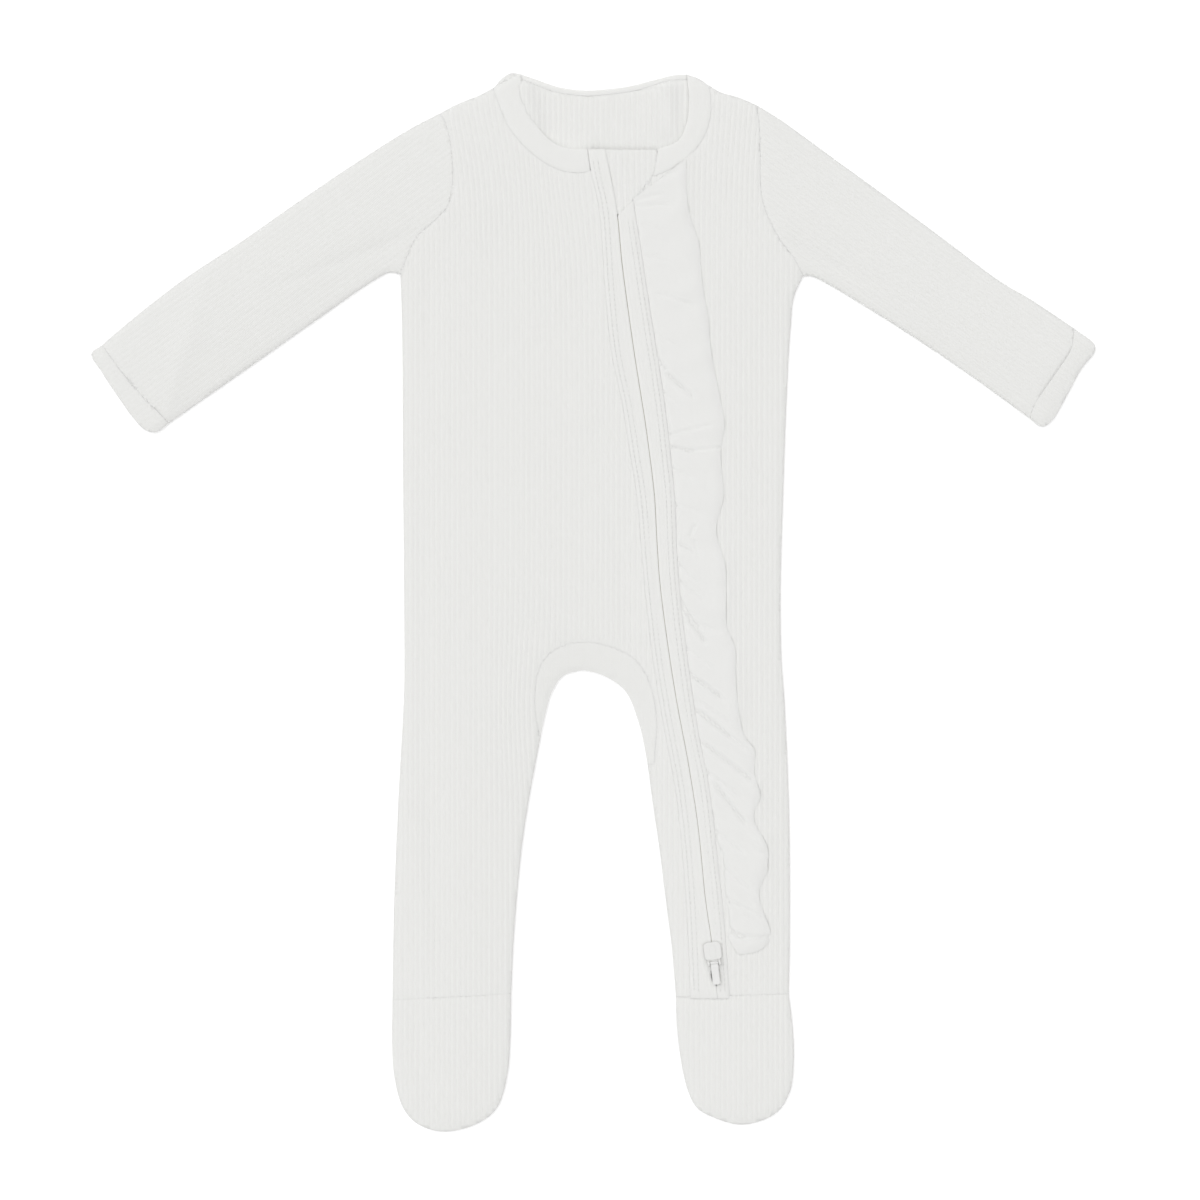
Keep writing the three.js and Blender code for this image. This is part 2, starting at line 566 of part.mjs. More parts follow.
/** Half the width of the slot at a height: closed above the zip, widened beside the pull. */
function halfSlot(y) {
  if (y > ZIP_TOP) return HALF_GAP;
  const t = THREE.MathUtils.clamp((y - RECESS.from) / (RECESS.to - RECESS.from), 0, 1);
  return ZIP_HALF_GAP + PULL_RECESS * Math.sin(Math.PI * t);
}

/** Points on a line at a list of heights, moved across by a distance that may vary. */
function lineAt(line, heights, moved) {
  return heights.map((y) => new THREE.Vector2(xAt(line, y) + moved(y), y));
}

/** Heights from one end of a strip to the other, closer together beside the pull. */
function stripHeights(top, bottom, step) {
  const fine = 2;
  const regular = steps(top, bottom, (top - bottom) / Math.round((top - bottom) / step));
  const beside = steps(RECESS.from, RECESS.to, fine);
  const apart = (y) => y > RECESS.from + fine || y < RECESS.to - fine;
  const all = bottom < RECESS.to ? [...regular.filter(apart), ...beside] : regular;
  return all.sort((a, b) => b - a);
}

const PLACKET_STEP = 16;
const tapeHeights = stripHeights(ZIP_TOP - SEAM_GAP, TAPE_END, PLACKET_STEP);
add("zip_tape", strip(
  lineAt(placketEdgeRight, tapeHeights, () => TAPE_MARGIN),
  lineAt(placketEdgeLeft, tapeHeights, () => -TAPE_MARGIN), 2,
  (x, y) => inside(x, y), (x, y) => inside(x, y) + TAPE_THICKNESS,
), TAPE_COLOUR);

const placketLow = (x, y) => inside(x, y) + TAPE_THICKNESS + SEAM_GAP;
const placketHigh = (x, y) => placketLow(x, y) + PLACKET_THICKNESS;
const NECK_EDGE = 256.3;
const rightHeights = [
  ...stripHeights(NECK_EDGE, ZIP_TOP + HALF_GAP, PLACKET_STEP),
  ...stripHeights(ZIP_TOP - HALF_GAP, PLACKET_END, PLACKET_STEP),
];
add("right_placket", strip(
  lineAt(placketEdgeRight, rightHeights, () => 0),
  lineAt(zipLine, rightHeights, (y) => -halfSlot(y)), 2, placketLow, placketHigh,
), KNIT_COLOUR);

const leftHeights = stripHeights(ZIP_TOP - 1, PLACKET_END, PLACKET_STEP);
const slant = (y) => y + 8.5 * THREE.MathUtils.smoothstep(y, 190, ZIP_TOP - 1);
add("left_placket", strip(
  lineAt(zipLine, leftHeights, halfSlot),
  leftHeights.map((y) => new THREE.Vector2(xAt(placketEdgeLeft, slant(y)), slant(y))),
  2, placketLow, placketHigh,
), KNIT_COLOUR);

const guardHeights = stripHeights(NECK_EDGE, ZIP_TOP + 1, GUARD_ROWS);
const guardLoop = joined(lineAt(zipLine, guardHeights, () => HALF_GAP), back(guardEdge));
add("chin_guard", frontPanel(guardLoop, 0, GUARD_ROWS), KNIT_COLOUR);

// Ruffle sewn along the left placket, gathered into waves that lift towards its free edge
const RUFFLE_STEPS = RUFFLE_CRESTS.length * 4;

/** Lift of the ruffle's free edge at a height: crests from the table with dips between. */
function gather(y) {
  const i = RUFFLE_CRESTS.findIndex((crest) => crest.y < y) - 1;
  if (i < 0) return RUFFLE_CRESTS.at(y > RUFFLE_CRESTS[0].y ? 0 : -1).lift;
  const [a, b] = [RUFFLE_CRESTS[i], RUFFLE_CRESTS[i + 1]];
  const t = (a.y - y) / (a.y - b.y);
  return THREE.MathUtils.lerp(a.lift, b.lift, t) * (0.5 + 0.5 * Math.cos(2 * Math.PI * t));
}

const ruffleRoot = resampled(
  shifted(between(placketEdgeLeft, 228, RUFFLE_ROOT_END[1]), SEAM_GAP + 0.1), RUFFLE_STEPS,
);
const ruffleEdge = traceSteps(RUFFLE_EDGE, RUFFLE_STEPS);
const ruffleLow = (x, y, share, along) => {
  const rise = gather(ruffleEdge[Math.round(along * RUFFLE_STEPS)].y);
  return inside(x, y) + CLOTH + RIB_HEIGHT + SEAM_GAP + rise * Math.sin(share * Math.PI * 0.5) ** 1.3;
};
add("ruffle", strip(
  ruffleRoot, ruffleEdge, 4, ruffleLow, (...at) => ruffleLow(...at) + RUFFLE_THICKNESS,
), KNIT_COLOUR);

// Sleeves and their mitten cuffs: flattened tubes, open at both ends
const SLEEVE_ROWS = 34;
const CUFF_ROWS = 9;
const REACH_PAST = 14; // how far a hollow runs out past the ends of its tube

/** A line made longer at both ends, straight on. */
function lengthened(line, distance) {
  const out = (a, b) => a.clone().sub(b).setLength(distance).add(a);
  return [out(line[0], line[1]), ...line, out(line.at(-1), line.at(-2))];
}

/** Angle that turns the ribs from Y to a sleeve's length. */
function sleeveTurn(topLine) {
  const along = topLine[0].clone().sub(topLine.at(-1));
  return Math.atan2(-along.x, along.y);
}

/** One sleeve and its cuff. side is 1 where the hand lies on the -X side, -1 on the other. */
function addSleeve(word, side, armhole, topLine, underLine, seam, end) {
  const turn = sleeveTurn(topLine);
  const straight = underLine.slice(2);
  const sleeveLoop = joined(
    shifted(armhole, -side * SEAM_GAP), underLine, back(shifted(seam, side * HALF_GAP)), back(topLine),
  );
  const hollow = joined(
    lengthened(shifted(topLine, side * CLOTH), REACH_PAST),
    back(lengthened(shifted(straight, -side * CLOTH), REACH_PAST)),
  );
  add(`${word}_sleeve`, flatTube(sleeveLoop, hollow, turn, SLEEVE_ROWS, CLOTH), KNIT_COLOUR);

  const cuffLoop = joined(shifted(seam, -side * HALF_GAP), back(end));
  const middle = seam.slice(1, -1);
  const cuffHollow = joined(
    shifted(middle, side * REACH_PAST / 2), back(shifted(middle, -side * REACH_PAST)),
  );
  add(`${word}_cuff`, flatTube(cuffLoop, cuffHollow, turn, CUFF_ROWS, CLOTH + CUFF_EXTRA), KNIT_COLOUR);
}

addSleeve("right", 1, armholeRight, sleeveTopRight, underarmRight, cuffSeamRight, cuffEndRight);
addSleeve("left", -1, armholeLeft, sleeveTopLeft, underarmLeft, cuffSeamLeft, cuffEndLeft);

// Zip slider at the ankle and the pull that hinges on it. Both are made about the hinge:
// X along the hinge, Y up the zip, Z from the seat on the plackets.
const HINGE_Y = -204;
const zipAhead = HINGE_Y + SLIDER.length;
const hingeX = xAt(zipLine, HINGE_Y);
const zipTilt = Math.atan2(hingeX - xAt(zipLine, zipAhead), SLIDER.length);
const seatWidths = [-SLIDER.width / 2, 0, SLIDER.width / 2];
const seats = steps(zipAhead + 2, HINGE_Y - PULL.length, 2).flatMap((y) => seatWidths.map(
  (dx) => placketHigh(xAt(zipLine, y) + dx, y),
));
const SEAT_Z = Math.max(...seats) + SEAM_GAP;
const HINGE_Z = SLIDER.thickness + PULL.barrel - SEAM_GAP + 0.1;
const ROUND_SIDES = 12;

/** A flat plate with rounded corners between two heights. */
function roundedPlate(left, right, low, high, corner, bottom, top) {
  const shape = new THREE.Shape();
  shape.moveTo(left + corner, low);
  shape.lineTo(right - corner, low);
  shape.absarc(right - corner, low + corner, corner, -Math.PI / 2, 0);
  shape.lineTo(right, high - corner);
  shape.absarc(right - corner, high - corner, corner, 0, Math.PI / 2);
  shape.lineTo(left + corner, high);
  shape.absarc(left + corner, high - corner, corner, Math.PI / 2, Math.PI);
  shape.lineTo(left, low + corner);
  shape.absarc(left + corner, low + corner, corner, Math.PI, Math.PI * 1.5);
  const geometry = new THREE.ExtrudeGeometry(
    shape, { depth: top - bottom, bevelEnabled: false, curveSegments: 4 },
  );
  return solidOf(geometry.translate(0, 0, bottom));
}

/** A round bar along X. */
function bar(radius, fromX, toX, y, z) {
  const geometry = new THREE.CylinderGeometry(radius, radius, toX - fromX, ROUND_SIDES);
  geometry.rotateZ(Math.PI / 2);
  return solidOf(geometry.translate((fromX + toX) / 2, y, z));
}

/** A block between two corners. */
function brick(low, high) {
  const size = high.map((value, i) => value - low[i]);
  const geometry = new THREE.BoxGeometry(...size);
  return solidOf(geometry.translate(...low.map((value, i) => value + size[i] / 2)));
}

function sliderSolid() {
  const edge = PULL.barrel + 0.4;
  const half = SLIDER.width / 2;
  const plate = roundedPlate(-half, half, edge, edge + SLIDER.length, SLIDER.corner, 0, SLIDER.thickness);
  const postDepth = PLACKET_THICKNESS + HALF_GAP;
  const postEnds = [edge + 2, edge + SLIDER.length - 2];
  const postHalf = ZIP_HALF_GAP / 2;
  const post = brick([-postHalf, postEnds[0], -postDepth], [postHalf, postEnds[1], 0.2]);
  const inner = PULL.width / 2;
  const lugs = [inner, -inner - LUG.width].map((x) => bar(LUG.radius, x, x + LUG.width, 0, HINGE_Z)
    .add(brick([x, -LUG.radius, 0], [x + LUG.width, LUG.radius, HINGE_Z]))
    .subtract(bar(PULL.pinHole, x - 1, x + LUG.width + 1, 0, HINGE_Z)));
  return plate.add(post).add(lugs[0]).add(lugs[1]);
}

function pullSolid() {
  const half = PULL.width / 2;
  const neck = half - SEAM_GAP;
  const [low, high] = [HINGE_Z - PULL.barrel, HINGE_Z - PULL.barrel + PULL.thickness];
  const tab = roundedPlate(-half, half, -PULL.length, -LUG.reach, 1, low, high);
  const link = brick([-neck, -LUG.reach - 1.2, low], [neck, 0, high]);
  return tab.add(link)
    .add(bar(PULL.barrel, -neck, neck, 0, HINGE_Z))
    .add(bar(PULL.pin, -half - LUG.width, half + LUG.width, 0, HINGE_Z));
}

add("zip_slider", geometryOf(sliderSolid()), METAL_COLOUR, 0.35, 0.6);
add("zip_pull", geometryOf(pullSolid()), METAL_COLOUR, 0.35, 0.6);
for (const piece of object.children.slice(-2)) {
  piece.position.set(hingeX, HINGE_Y, SEAT_Z);
  piece.rotation.z = zipTilt;
}

export default object;
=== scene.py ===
"""Looks of a footed baby sleepsuit in ribbed knit, laid flat on its back and seen from above.

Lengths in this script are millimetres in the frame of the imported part, and turn into metres
where a mesh is written. Right and left are the wearer's: the right hand lies on the -X side.
"""

import logging
import math
from collections.abc import Callable
from dataclasses import dataclass, field
from enum import Enum

import bpy
import numpy as np
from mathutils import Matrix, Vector
from mathutils.geometry import delaunay_2d_cdt


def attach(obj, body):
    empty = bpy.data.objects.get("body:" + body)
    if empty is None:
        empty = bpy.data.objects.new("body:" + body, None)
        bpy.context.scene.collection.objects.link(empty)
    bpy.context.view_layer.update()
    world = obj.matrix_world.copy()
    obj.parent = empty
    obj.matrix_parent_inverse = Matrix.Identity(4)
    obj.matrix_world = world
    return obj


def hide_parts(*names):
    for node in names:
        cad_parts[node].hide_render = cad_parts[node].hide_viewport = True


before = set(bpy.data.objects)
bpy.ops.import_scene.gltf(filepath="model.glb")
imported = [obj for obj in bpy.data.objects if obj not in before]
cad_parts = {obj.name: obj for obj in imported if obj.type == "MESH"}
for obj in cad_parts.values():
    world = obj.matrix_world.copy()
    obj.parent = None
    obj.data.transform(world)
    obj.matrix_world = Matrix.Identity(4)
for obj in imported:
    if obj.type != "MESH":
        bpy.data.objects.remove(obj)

Array = np.ndarray
Height = Callable[[Array, Array], Array]

logging.basicConfig(level=logging.INFO, format="%(message)s")
LOG = logging.getLogger("sleepsuit")

MM = 0.001
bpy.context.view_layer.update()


class Slot(Enum):
    """Names of the material slots."""

    RIB = "rib_knit"
    SMOOTH = "smooth_knit"
    JERSEY = "ruffle_jersey"
    TAPE = "zip_tape"
    METAL = "zip_metal"


class Body(Enum):
    """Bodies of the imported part."""

    GARMENT = "garment"
    PULL = "pull"


@dataclass(frozen=True)
class Cloth:
    """Walls and reliefs of the cloth, in millimetres."""

    wall: float = 1.2
    gap: float = 0.3
    rib_pitch: float = 3.0
    rib_height: float = 0.39
    furrow: float = 0.45
    loft: float = 2.4
    loft_reach: float = 18.0
    edge_round: float = 4.2
    edge_foot: float = 0.3
    edge_top: float = 2.1
    tape: float = 0.8
    placket: float = 1.4
    binding: float = 1.8
    half_slot: float = 0.17
    recess: float = 2.45
    column: float = 0.75
    thinned: float = 0.2
    tuck: float = 0.6
    tuck_drop: float = 0.3
    soft_dip: float = 0.1
    soft_reach: float = 2.0
    firm_dip: float = 0.16
    firm_reach: float = 1.5
    ankle_dip: float = 0.22
    ankle_reach: float = 3.6


CLOTH = Cloth()

# Outlines seen from above. Columns of each table: x, y. The curves run from the neck
# towards the feet or the hands, or from right to left.
OUTLINES = {
    "shoulder_right": [(-57, 291.5), (-64.5, 287.5), (-77, 282.4), (-87, 277.3)],
    "shoulder_left": [(65.5, 293), (72, 289.2), (82, 286.3), (92.7, 281.8)],
    "armhole_right": [
        (-87, 277.3), (-83.6, 270.5), (-80.4, 256.3), (-80.2, 235.3), (-82.8, 224),
        (-91, 215), (-100, 207), (-105.5, 196), (-109.5, 186),
    ],
    "armhole_left": [
        (92.7, 281.8), (93.8, 272), (94.4, 256), (94.4, 239), (95.5, 228), (99, 217.7),
        (104.6, 207), (113, 195.6), (119, 185),
    ],
    "side_right": [
        (-109.5, 186), (-108.6, 157.6), (-108, 76), (-107.4, 1), (-107.4, -50),
        (-110.3, -105.5), (-113, -169), (-114, -225.5),
    ],
    "side_left": [
        (119, 185), (113.9, 173.5), (112, 157.6), (109.8, 120), (107.6, 60), (106.2, 10),
        (106.6, -30), (108.6, -60), (111, -120), (111.4, -190), (110.8, -222),
    ],
    "toe_right": [
        (-114, -225.5), (-114.2, -250), (-113, -269), (-108, -287), (-100, -296),
        (-85.3, -300.5), (-66, -296), (-54.7, -287), (-49, -269), (-47.3, -250), (-46.7, -222),
    ],
    "toe_left": [
        (110.8, -222), (113, -241), (113.7, -260), (111.4, -278), (103.5, -290), (85, -296.5),
        (69.5, -293), (58.7, -287), (53.5, -277), (49.6, -260), (47.3, -240), (46.8, -224),
    ],
    "inseam_right": [
        (-6, -38.6), (-17.3, -42), (-23.5, -51), (-26.4, -60), (-32, -87), (-37, -114.5),
        (-41, -142), (-45, -187), (-46.7, -222),
    ],
    "inseam_left": [
        (-6, -38.6), (4.8, -41.4), (18, -50.5), (25.8, -69), (29.8, -87), (33.7, -114.5),
        (37.7, -142), (41, -169), (44.5, -196), (46.8, -224),
    ],
    "sleeve_top_right": [
        (-87, 277.3), (-104.6, 268), (-132.4, 250.6), (-166, 228), (-199, 205), (-233, 182.6),
        (-265, 157.6), (-279, 145.6),
    ],
    "sleeve_top_left": [
        (92.7, 281.8), (106.3, 273.3), (137.5, 250.6), (168.7, 228), (199.3, 205.3),
        (230.5, 182), (249, 171), (272.5, 155.3),
    ],
    "underarm_right": [
        (-109.5, 186), (-115.4, 187.1), (-124.5, 182.6), (-160.7, 157.6), (-200, 130),
        (-241, 101.4),
    ],
    "underarm_left": [
        (119, 185), (124, 184.8), (132, 181), (171.5, 157), (212, 130), (247.5, 104.3),
    ],
    "cuff_seam_right": [
        (-279, 145.6), (-272.5, 137), (-260, 121.5), (-247, 107.7), (-241, 101.4),
    ],
    "cuff_seam_left": [
        (272.5, 155.3), (271, 144), (260.5, 127.5), (250.3, 112.3), (247.5, 104.3),
    ],
    "cuff_end_right": [
        (-279, 145.6), (-284.9, 140.8), (-279, 130.4), (-270, 116.8), (-260, 103),
        (-254.3, 97.5), (-248, 96.4), (-241, 101.4),
    ],
    "cuff_end_left": [
        (272.5, 155.3), (284.9, 144.4), (276.4, 131.5), (268.5, 116.8), (260.5, 103.2),
        (254.9, 99.4), (247.5, 104.3),
    ],
    "neck_top_right": [(-57, 291.5), (-51.5, 297.7), (-46.5, 300.4), (-41.5, 299.6)],
    "neck_top_left": [(65.5, 293), (62, 295.8), (58, 298), (53, 299.3)],
    "neck_back": [
        (-41.5, 299.6), (-32.5, 296.5), (-19, 292), (-5.5, 290.3), (8, 291), (22, 293),
        (35.5, 296.5), (47, 299.2), (53, 299.3),
    ],
    "binding_outer_right": [
        (-57, 291.5), (-52.5, 279), (-48.5, 270), (-41.7, 260.8), (-30.3, 250.6), (-20, 245),
        (-9.4, 243), (-1.6, 244),
    ],
    "binding_inner_right": [
        (-41.5, 299.6), (-40, 286), (-33, 271), (-23, 260.3), (-15, 257), (-3.1, 256.3),
    ],
    "binding_outer_left": [
        (65.5, 293), (66.6, 283), (66, 274), (62.7, 264), (54, 252), (43, 245), (33, 240.5),
    ],
    "binding_inner_left": [(53, 299.3), (54.2, 283), (52.4, 270), (48, 261.4), (36, 256.3)],
    "placket_edge_right": [
        (-3.1, 256.3), (-1.4, 244), (3.2, 223), (5, 202), (6.6, 177.5), (10.4, 141),
        (16.6, 111), (20.7, 85), (24.7, 59.5), (27.5, 26), (30.3, -3.4), (33.8, -33),
        (40.4, -73), (46, -103), (50, -137), (53, -178), (55, -224),
    ],
    "placket_edge_left": [
        (22.4, 228), (26.4, 203), (29.8, 180), (34, 153), (37.7, 130), (41.2, 105),
        (43.4, 85), (46, 59.5), (46.9, 35.7), (48.4, 11.3), (52, -22), (59.2, -73),
        (65.2, -103), (70, -144), (74, -182), (77, -224),
    ],
    "zip_line": [
        (6.5, 256.3), (9.9, 240.4), (13.3, 221), (16.2, 191.6), (19.6, 165.6), (24, 135),
        (28.8, 105), (31.6, 85), (34.6, 59.5), (35.9, 35.7), (37.6, 11.3), (41.7, -21.5),
        (47.2, -56.7), (53.4, -89.6), (59.3, -127.6), (63.4, -168), (67.2, -194.5),
        (70.2, -224),
    ],
    "chin_guard_edge": [
        (35.5, 256.3), (33.5, 246), (31.2, 239), (26, 232), (20, 226), (15, 219.6),
    ],
    "gusset_edge": [
        (-31.5, -76), (-33.4, -55), (-30.5, -36), (-22.5, -27), (-12, -23), (0.3, -22.6),
        (17.3, -28.3), (27, -36.3), (33, -48.2), (36, -64), (35, -92),
    ],
    "ruffle_edge": [
        (52.4, 250.6), (53.4, 224), (59.6, 203), (61.5, 181), (65, 160), (66.4, 143),
        (70.5, 121), (74, 101), (72, 84), (73.6, 60), (69.4, 41), (74.6, 20), (75.6, -14),
        (80, -26), (80.6, -46), (84.8, -74), (91.2, -84), (91, -97), (94.6, -109),
        (90.6, -122), (98.2, -138), (98.6, -151), (93.6, -165), (98.8, -182), (100.4, -190),
        (94, -197.4), (82, -199.8),
    ],
}

# Folds of the cloth. Columns: start, end, half width, height (a trough is negative).
FOLDS = [
    ((-94, 176), (-96, 128), 9, -0.9),
    ((-80, 262), (-66, 214), 12, 0.8),
    ((-98, 20), (-95, -120), 10, -0.7),
    ((2, 166), (-4, 110), 10, 0.7),
    ((15, 34), (18, -20), 9, -0.6),
    ((-92, -130), (-86, -196), 9, -0.8),
    ((-99, -240), (-90, -285), 10, -0.8),
    ((118, 205), (140, 190), 10, -0.8),
    ((-160, 172), (-120, 196), 9, -0.9),
    ((-222, 176), (-240, 112), 10, 1.2),
    ((98, 150), (95, 60), 9, -0.7),
    ((98, -60), (99, -150), 9, 0.7),
    ((60, -244), (98, -250), 9, -0.6),
]

# Gathers of the ruffle. Columns: y of the crest, how high its free edge lifts.
RUFFLE_CRESTS = [
    (246, 1.2), (226, 2.2), (203, 1.4), (181, 2.4), (160, 1.6), (141, 2.6), (121, 2.0),
    (101, 3.0), (82, 1.5), (60, 2.2), (40, 2.8), (20, 1.8), (-4, 2.6), (-24, 2.0), (-46, 1.6),
    (-68, 2.4), (-84, 3.2), (-97, 1.8), (-109, 2.8), (-124, 1.6), (-139, 3.0), (-152, 1.8),
    (-167, 2.4), (-183, 3.0), (-198, 1.4),
]

# Smaller creases of the front and the sleeves. Columns: start, end, half width, height.
CREASES = [
    ((-94, 186), (-94, 158), 3.0, -0.5),
    ((-167, 184), (-112, 205), 4.0, -0.5),
    ((-223, 177), (-241, 110), 3.5, 0.35),
    ((117, 201), (146, 187), 4.0, -0.5),
    ((-2, 164), (2, 115), 4.0, -0.35),
    ((13, 33), (20, -17), 4.0, -0.35),
    ((-96, 24), (-95, -118), 4.5, -0.35),
    ((-93, -135), (-90, -194), 4.0, -0.4),
    ((-101, -244), (-96, -284), 4.0, -0.4),
    ((-82, 256), (-66, 204), 5.0, 0.35),
    ((-269, 134), (-249, 110), 2.0, -0.5),
    ((267, 151), (275, 142), 2.5, -0.4),
    ((235, 178), (240, 172), 2.5, -0.5),
    ((74.5, 24), (75.5, -4), 6.0, 0.8),
    ((80, -34), (82, -58), 6.0, 0.9),
    ((91.5, -103), (92, -118), 5.0, 0.8),
    ((97, -132), (97, -148), 5.0, 0.6),
    ((52.5, 250), (53, 226), 5.0, 0.9),
]

# Where the ribs of the front lean. Columns: centre, reach along x, reach along y, shift.
RIB_LEANS = [
    ((-62, 302), 38, 46, -11.0),
    ((-8, 256), 22, 46, -6.5),
    ((80, 300), 30, 44, 4.0),
    ((-34, -60), 16, 40, -3.0),
]

# Ridges of the back inside the neck, with the same columns.
NECK_RIDGES = [
    ((-40, 291), (-35, 270), 7.0, 3.2),
    ((41, 298), (43, 268), 7.5, 3.4),
]

# Creases of the ruffle, with the same columns.
RUFFLE_CREASES = [
    ((26, 228), (37, 231), 1.0, -0.5),
    ((26, 224.5), (43, 225), 0.9, -0.45),
    ((31, 238.5), (45, 243), 1.1, -0.6),
    ((35, 244), (45, 248), 1.1, -0.5),
    ((39, 174), (54, 169), 1.0, -0.55),
    ((43, 128), (55, 117.5), 1.1, -1.0),
    ((37, 136.5), (41, 132), 0.9, -0.7),
    ((45.5, 95.5), (65, 100), 0.9, -0.6),
    ((44.5, 88), (55, 85.5), 0.9, -0.8),
    ((55, 85.5), (71, 87.5), 0.9, -0.6),
    ((57.5, 43), (55, 38), 1.0, -0.7),
    ((49.5, 32), (56, 29), 1.1, -0.6),
    ((57, 34), (58.5, 27), 0.9, -0.5),
    ((50, -1), (62, -21), 1.3, -1.0),
    ((55, -12), (70, -16), 1.2, -0.5),
    ((56, -42), (71, -53), 1.3, -0.8),
    ((62, -64), (85, -82), 1.3, -1.0),
    ((65, -82), (86, -98), 1.4, -0.9),
    ((71, -106), (84, -123), 1.4, -0.9),
    ((66.5, -120), (68, -134), 1.5, -0.9),
    ((71.3, -143), (75.3, -184), 2.6, -1.2),
    ((76, -185), (84, -189.5), 1.1, -0.9),
    ((84, -189.5), (99, -190), 1.0, -0.7),
    ((29, 214), (38, 211), 0.8, -0.3),
    ((31, 196), (41, 193), 0.8, -0.35),
    ((36, 152), (44, 147), 0.8, -0.3),
    ((40, 119), (49, 112), 0.8, -0.35),
    ((45, 76), (54, 70), 0.8, -0.4),
    ((47, 55), (58, 52), 0.8, -0.3),
    ((48, 22), (57, 13), 0.8, -0.45),
    ((49, 12), (60, 3), 0.8, -0.4),
    ((54, -27), (66, -36), 0.8, -0.4),
    ((59, -56), (74, -66), 0.9, -0.45),
    ((64, -96), (80, -108), 0.9, -0.5),
    ((70, -130), (84, -141), 0.9, -0.5),
    ((76, -152), (88, -163), 1.2, -0.5),
    ((78, -170), (92, -176), 1.0, -0.45),
]

ANKLE_RIGHT = np.array([(-114, -225.5), (-46.7, -222)])
ANKLE_LEFT = np.array([(46.8, -224), (110.8, -222)])
ZIP_TOP = 219.0
TAPE_END = -202.0
FRONT_END = -223.9
PLACKET_END = -225.0
NECK_EDGE = 256.3
RECESS_TOP = -205.5
RECESS_END = -217.5


def smooth_line(points: list | Array, step: float) -> Array:
    """Centripetal Catmull-Rom curve through points, resampled at equal arc lengths.

    Args:
        points: Rows of x and y.
        step: Wanted distance between samples.

    Returns:
        Samples as an array of shape (n, 2).
    """
    p = np.asarray(points, float)
    if len(p) == 2:
        p = np.array([p[0], p.mean(0), p[1]])
    ends = np.vstack([2 * p[0] - p[1], p, 2 * p[-1] - p[-2]])
    t = np.concatenate([[0], np.cumsum(np.linalg.norm(np.diff(ends, axis=0), axis=1) ** 0.5)])
    pieces = []
    for i in range(len(p) - 1):
        t0, t1, t2, t3 = t[i:i + 4]
        p0, p1, p2, p3 = ends[i:i + 4]
        s = np.linspace(t1, t2, 25)[:, None]
        a1 = (t1 - s) / (t1 - t0) * p0 + (s - t0) / (t1 - t0) * p1
        a2 = (t2 - s) / (t2 - t1) * p1 + (s - t1) / (t2 - t1) * p2
        a3 = (t3 - s) / (t3 - t2) * p2 + (s - t2) / (t3 - t2) * p3
        b1 = (t2 - s) / (t2 - t0) * a1 + (s - t0) / (t2 - t0) * a2
        b2 = (t3 - s) / (t3 - t1) * a2 + (s - t1) / (t3 - t1) * a3
        pieces.append(((t2 - s) / (t2 - t1) * b1 + (s - t1) / (t2 - t1) * b2)[int(i > 0):])
    return resample(np.vstack(pieces), step)


def resample(line: Array, step: float) -> Array:
    """The same line with samples about one step apart."""
    along = np.concatenate([[0], np.cumsum(np.linalg.norm(np.diff(line, axis=0), axis=1))])
    at = np.linspace(0, along[-1], max(2, round(along[-1] / step)) + 1)
    return np.stack([np.interp(at, along, line[:, k]) for k in (0, 1)], axis=1)


def resample_count(line: Array, count: int) -> Array:
    """The same line with a given number of samples at equal arc lengths."""
    along = np.concatenate([[0], np.cumsum(np.linalg.norm(np.diff(line, axis=0), axis=1))])
    at = np.linspace(0, along[-1], count)
    return np.stack([np.interp(at, along, line[:, k]) for k in (0, 1)], axis=1)


def shifted(line: Array, distance: float) -> Array:
    """The line moved to the left of its own direction by a distance."""
    along = np.gradient(line, axis=0)
    along /= np.linalg.norm(along, axis=1, keepdims=True)
    return line + np.stack([-along[:, 1], along[:, 0]], axis=1) * distance


def x_at(line: Array, y: Array | float) -> Array:
    """The x of a line that only rises or falls, at each height y."""
    order = np.argsort(line[:, 1])
    return np.interp(y, line[order, 1], line[order, 0])


def between(line: Array, from_y: float, to_y: float) -> Array:
    """The stretch of a line that only rises or falls, with an end point on each height.

    Args:
        line: The line.
        from_y: Height of the first point.
        to_y: Height of the last point.

    Returns:
        The stretch, from the first height to the last.
    """
    low, high = min(from_y, to_y), max(from_y, to_y)
    inner = line[(line[:, 1] > low + 0.3) & (line[:, 1] < high - 0.3)]
    if len(inner) > 1 and (inner[0, 1] > inner[-1, 1]) != (from_y > to_y):
        inner = inner[::-1]
    ends = [np.array([[float(x_at(line, y)), y]]) for y in (from_y, to_y)]
    return np.vstack([ends[0], inner, ends[1]])


def joined(*lines: Array) -> Array:
    """One closed loop out of lines that follow each other.

    Args:
        lines: Lines in their order round the loop.

    Returns:
        The loop, without doubled points.
    """
    loop = np.vstack(lines)
    step = np.linalg.norm(loop - np.roll(loop, 1, axis=0), axis=1)
    return loop[step > 0.1]


STEP = 2.0
LINES = {name: smooth_line(table, STEP) for name, table in OUTLINES.items()}


def silhouette() -> Array:
    """The garment's whole outline as one loop."""
    c = LINES
    return joined(
        c["neck_back"], c["neck_top_left"][::-1], c["shoulder_left"], c["sleeve_top_left"],
        c["cuff_end_left"], c["underarm_left"][::-1], c["side_left"], c["toe_left"],
        c["inseam_left"][::-1], c["inseam_right"], c["toe_right"][::-1], c["side_right"][::-1],
        c["underarm_right"], c["cuff_end_right"][::-1], c["sleeve_top_right"][::-1],
        c["shoulder_right"][::-1], c["neck_top_right"],
    )


